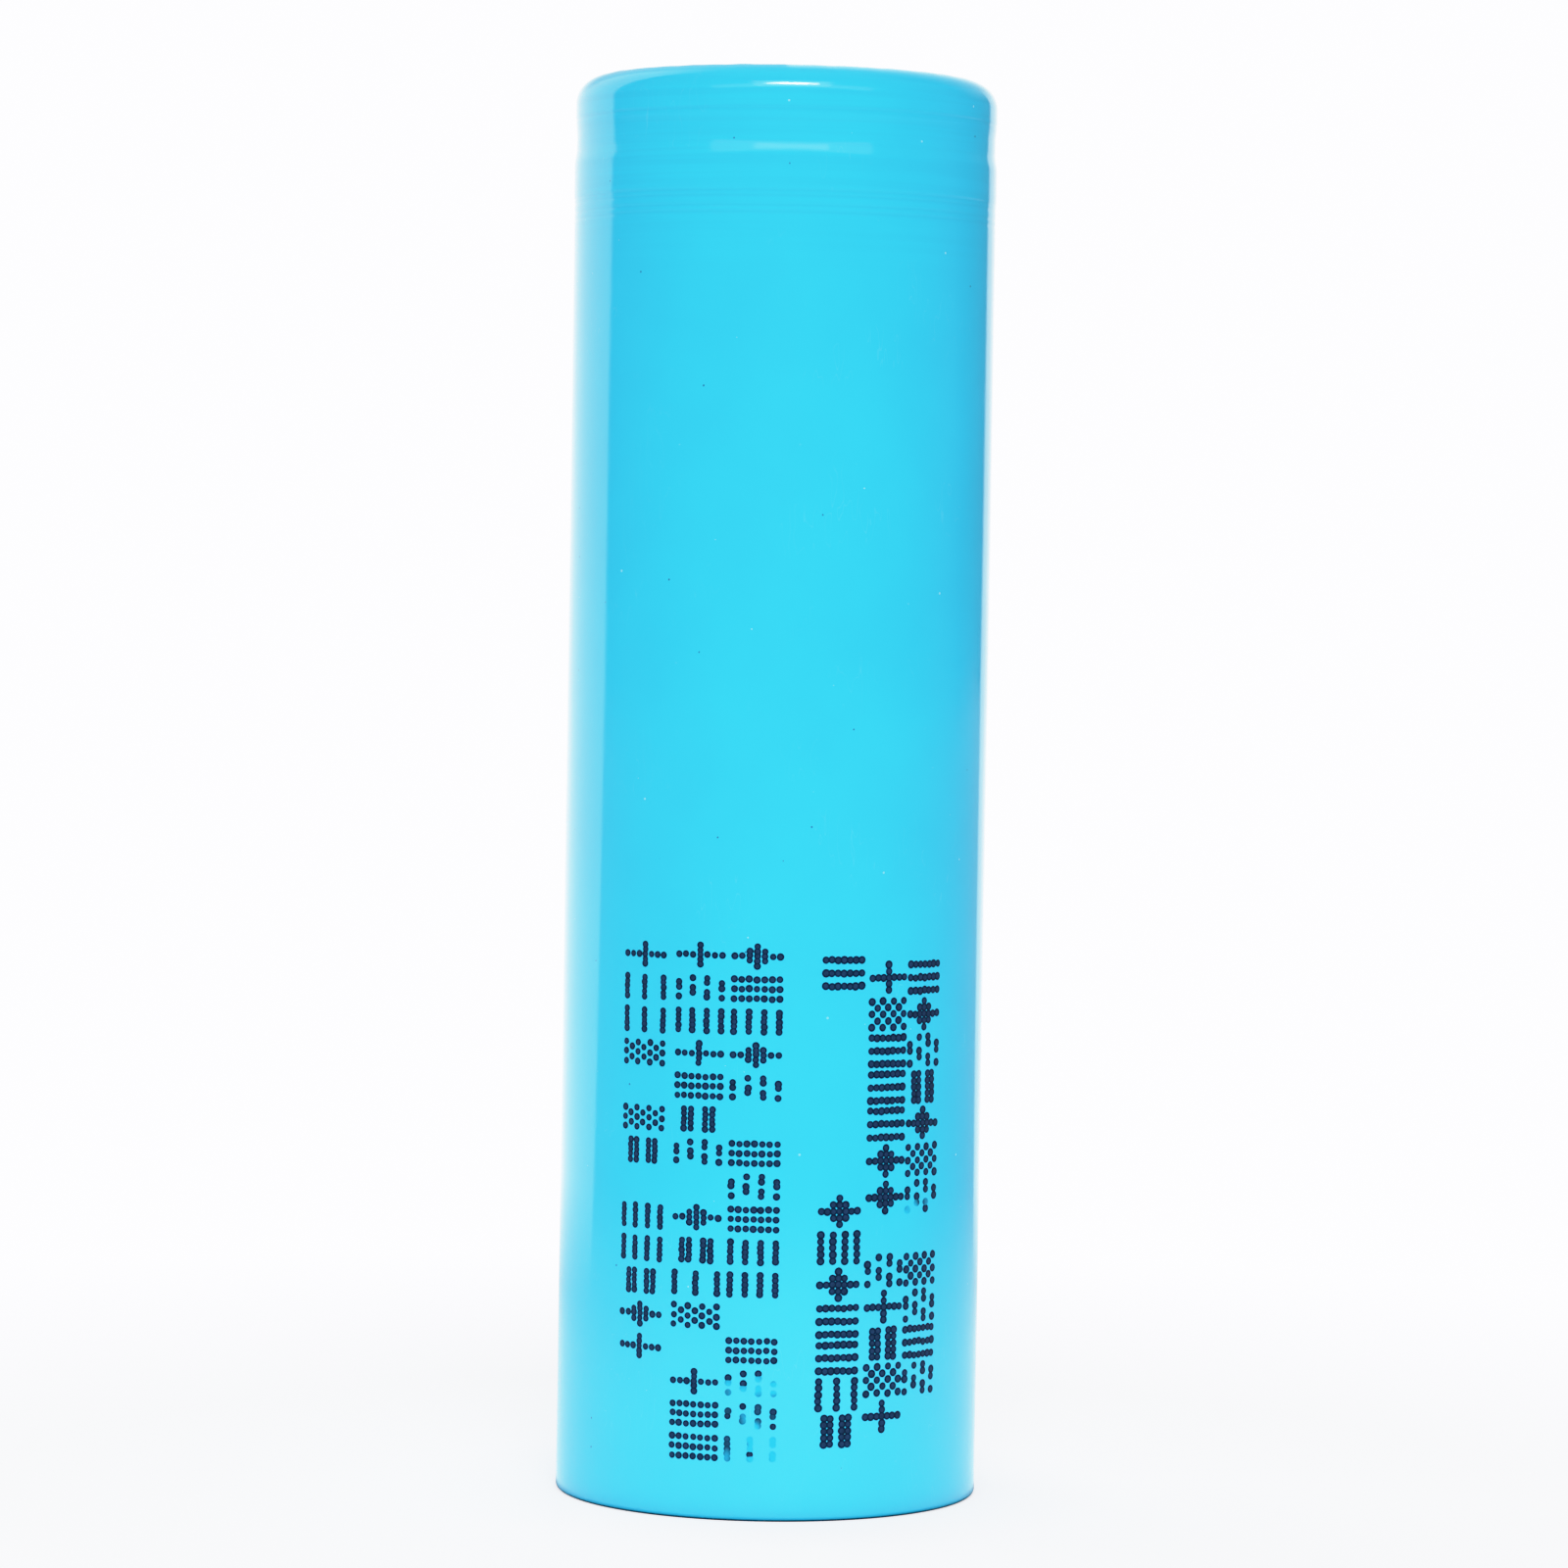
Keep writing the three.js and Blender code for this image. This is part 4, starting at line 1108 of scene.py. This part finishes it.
def light_from_floor(look, away):
    """What the floor sends to the cell: a dull bounce and a painted glow of light nearby, tinted with painted
    bounce colour from the cell and painted dark under it, and the studio's brightness far out.
    """
    x, y, _ = look.add("SeparateXYZ", {0: look.place}).outputs
    fibres = look.scaled(look.noise(3 * MM), 0.3, 0.7, 0.985, 1.0)
    out = look.scaled(away, *NEAR_FLOOR)
    # painted shade: the floor's bounce and glow fade to nothing under the cell's foot
    clear = look.scaled(away, *FOOT_SHADE)
    # painted light: the floor glows around the cell, where the key's light pools on it
    near_glow = look.math("MULTIPLY", clear, NEAR_GLOW)
    far_glow = look.math("MULTIPLY", out, room_level(look, x, y, ROOM_LOW))
    bounce = look.math("MULTIPLY", look.scaled(away, *NEAR_FLOOR, NEAR_BOUNCE, 0.0), fibres)
    look.tint(look.math("MULTIPLY", bounce, clear), (0, 0, 0), NEAR_TINT)
    look.set("Emission Color", look.blend(out, NEAR_TINT, ROOM_TINT))
    look.set("Emission Strength", look.math("MAXIMUM", near_glow, far_glow))
    return look.shader.outputs[0]


def seen_floor(look, away):
    """What the camera sees of the floor: pale paper with a glow that is painted darker by the cell and
    faintly blue from it, turning into the backdrop.
    """
    paper = look.add("BsdfDiffuse", {"Color": SEEN_PAPER}).outputs[0]
    level = look.scaled(away, *SEEN_SHADE)
    glow = look.add("Emission", {"Color": SEEN_TINT, "Strength": level}).outputs[0]
    near = look.add("AddShader", {0: paper, 1: glow}).outputs[0]
    far = look.add("Emission", {"Color": PALE, "Strength": 1.0}).outputs[0]
    return look.add("MixShader", {0: look.scaled(away, *SEEN_FLOOR), 1: near, 2: far}).outputs[0]


def make_floor():
    half = FLOOR_SIZE / 2
    points = [(-half, -half, 0), (half, -half, 0), (half, half, 0), (-half, half, 0)]
    floor = mesh_object("floor", points, [(0, 1, 2, 3)])
    look = Look("floor_paper", NEAR_TINT, 0.9)
    away = look.add("VectorMath", {0: look.place}, operation="LENGTH").outputs["Value"]
    look.show("OUTPUT_MATERIAL", seen_floor(look, away), light_from_floor(look, away))
    floor.data.materials.append(look.material)


def make_surround():
    world = bpy.data.worlds.new("studio")
    world.use_nodes = True
    tree = Tree(world.node_tree)
    direction = tree.add("TexCoord", {}).outputs["Generated"]
    x, y, z = tree.add("SeparateXYZ", {0: direction}).outputs
    elevation = tree.math("ARCSINE", z)
    high = tree.scaled(elevation, *[math.radians(e) for e in HIGH_FROM])
    overhead = tree.scaled(elevation, *[math.radians(e) for e in OVERHEAD_FROM])
    side = tree.between(high, room_level(tree, x, y, ROOM_LOW), room_level(tree, x, y, ROOM_HIGH))
    level = tree.between(overhead, side, OVERHEAD)
    room = tree.add("Background", {"Color": ROOM_TINT, "Strength": level}).outputs[0]
    backdrop = tree.add("Background", {"Color": PALE, "Strength": 1.0}).outputs[0]
    tree.show("OUTPUT_WORLD", backdrop, room)
    bpy.context.scene.world = world


def softbox(name, elevation, distance, width, height, radiance):
    """A rectangular lamp that faces the top of the cell."""
    lamp = bpy.data.lights.new(name, "AREA")
    lamp.shape = "RECTANGLE"
    lamp.size, lamp.size_y = width, height
    lamp.energy = radiance * math.pi * width * height
    lamp.color = KEY_TINT
    stand = bpy.data.objects.new(name, lamp)
    a, e = math.radians(KEY_AZIMUTH), math.radians(elevation)
    back = Vector((math.sin(a) * math.cos(e), -math.cos(a) * math.cos(e), math.sin(e)))
    stand.location = Vector((0, 0, HEIGHT)) + back * distance
    stand.rotation_mode = "QUATERNION"
    stand.rotation_quaternion = back.to_track_quat("Z", "Y")
    stand.visible_camera = False
    bpy.context.scene.collection.objects.link(stand)


def make_camera():
    lens = bpy.data.cameras.new("camera")
    lens.lens = CAMERA_LENS
    lens.sensor_width = 36
    lens.clip_start, lens.clip_end = 0.01, 10
    camera = bpy.data.objects.new("camera", lens)
    level = Matrix.Rotation(-CAMERA_YAW, 4, "Z") @ Matrix.Rotation(TURN / 4 - CAMERA_PITCH, 4, "X")
    place = Matrix.Translation((0, -CAMERA_DISTANCE, CAMERA_HEIGHT))
    camera.matrix_world = place @ level @ Matrix.Rotation(CAMERA_ROLL, 4, "Z")
    bpy.context.scene.collection.objects.link(camera)
    bpy.context.scene.camera = camera


def set_tone():
    view = bpy.context.scene.view_settings
    view.view_transform = "Standard"
    view.use_curve_mapping = True
    white = TONE[-1][0]
    view.curve_mapping.white_level = (white, white, white)
    points = view.curve_mapping.curves[3].points
    points[0].location = TONE[0]
    points[1].location = (1, TONE[-1][1])
    for level, shown in TONE[1:-1]:
        points.new(level / white, shown)
    view.curve_mapping.update()


make_floor()
make_surround()
for layer, (elevation, width, height, radiance) in enumerate(KEY_LAYERS):
    softbox(f"key_{layer}", elevation, KEY_DISTANCE - layer * KEY_STEP, width, height, radiance)
make_camera()
set_tone()
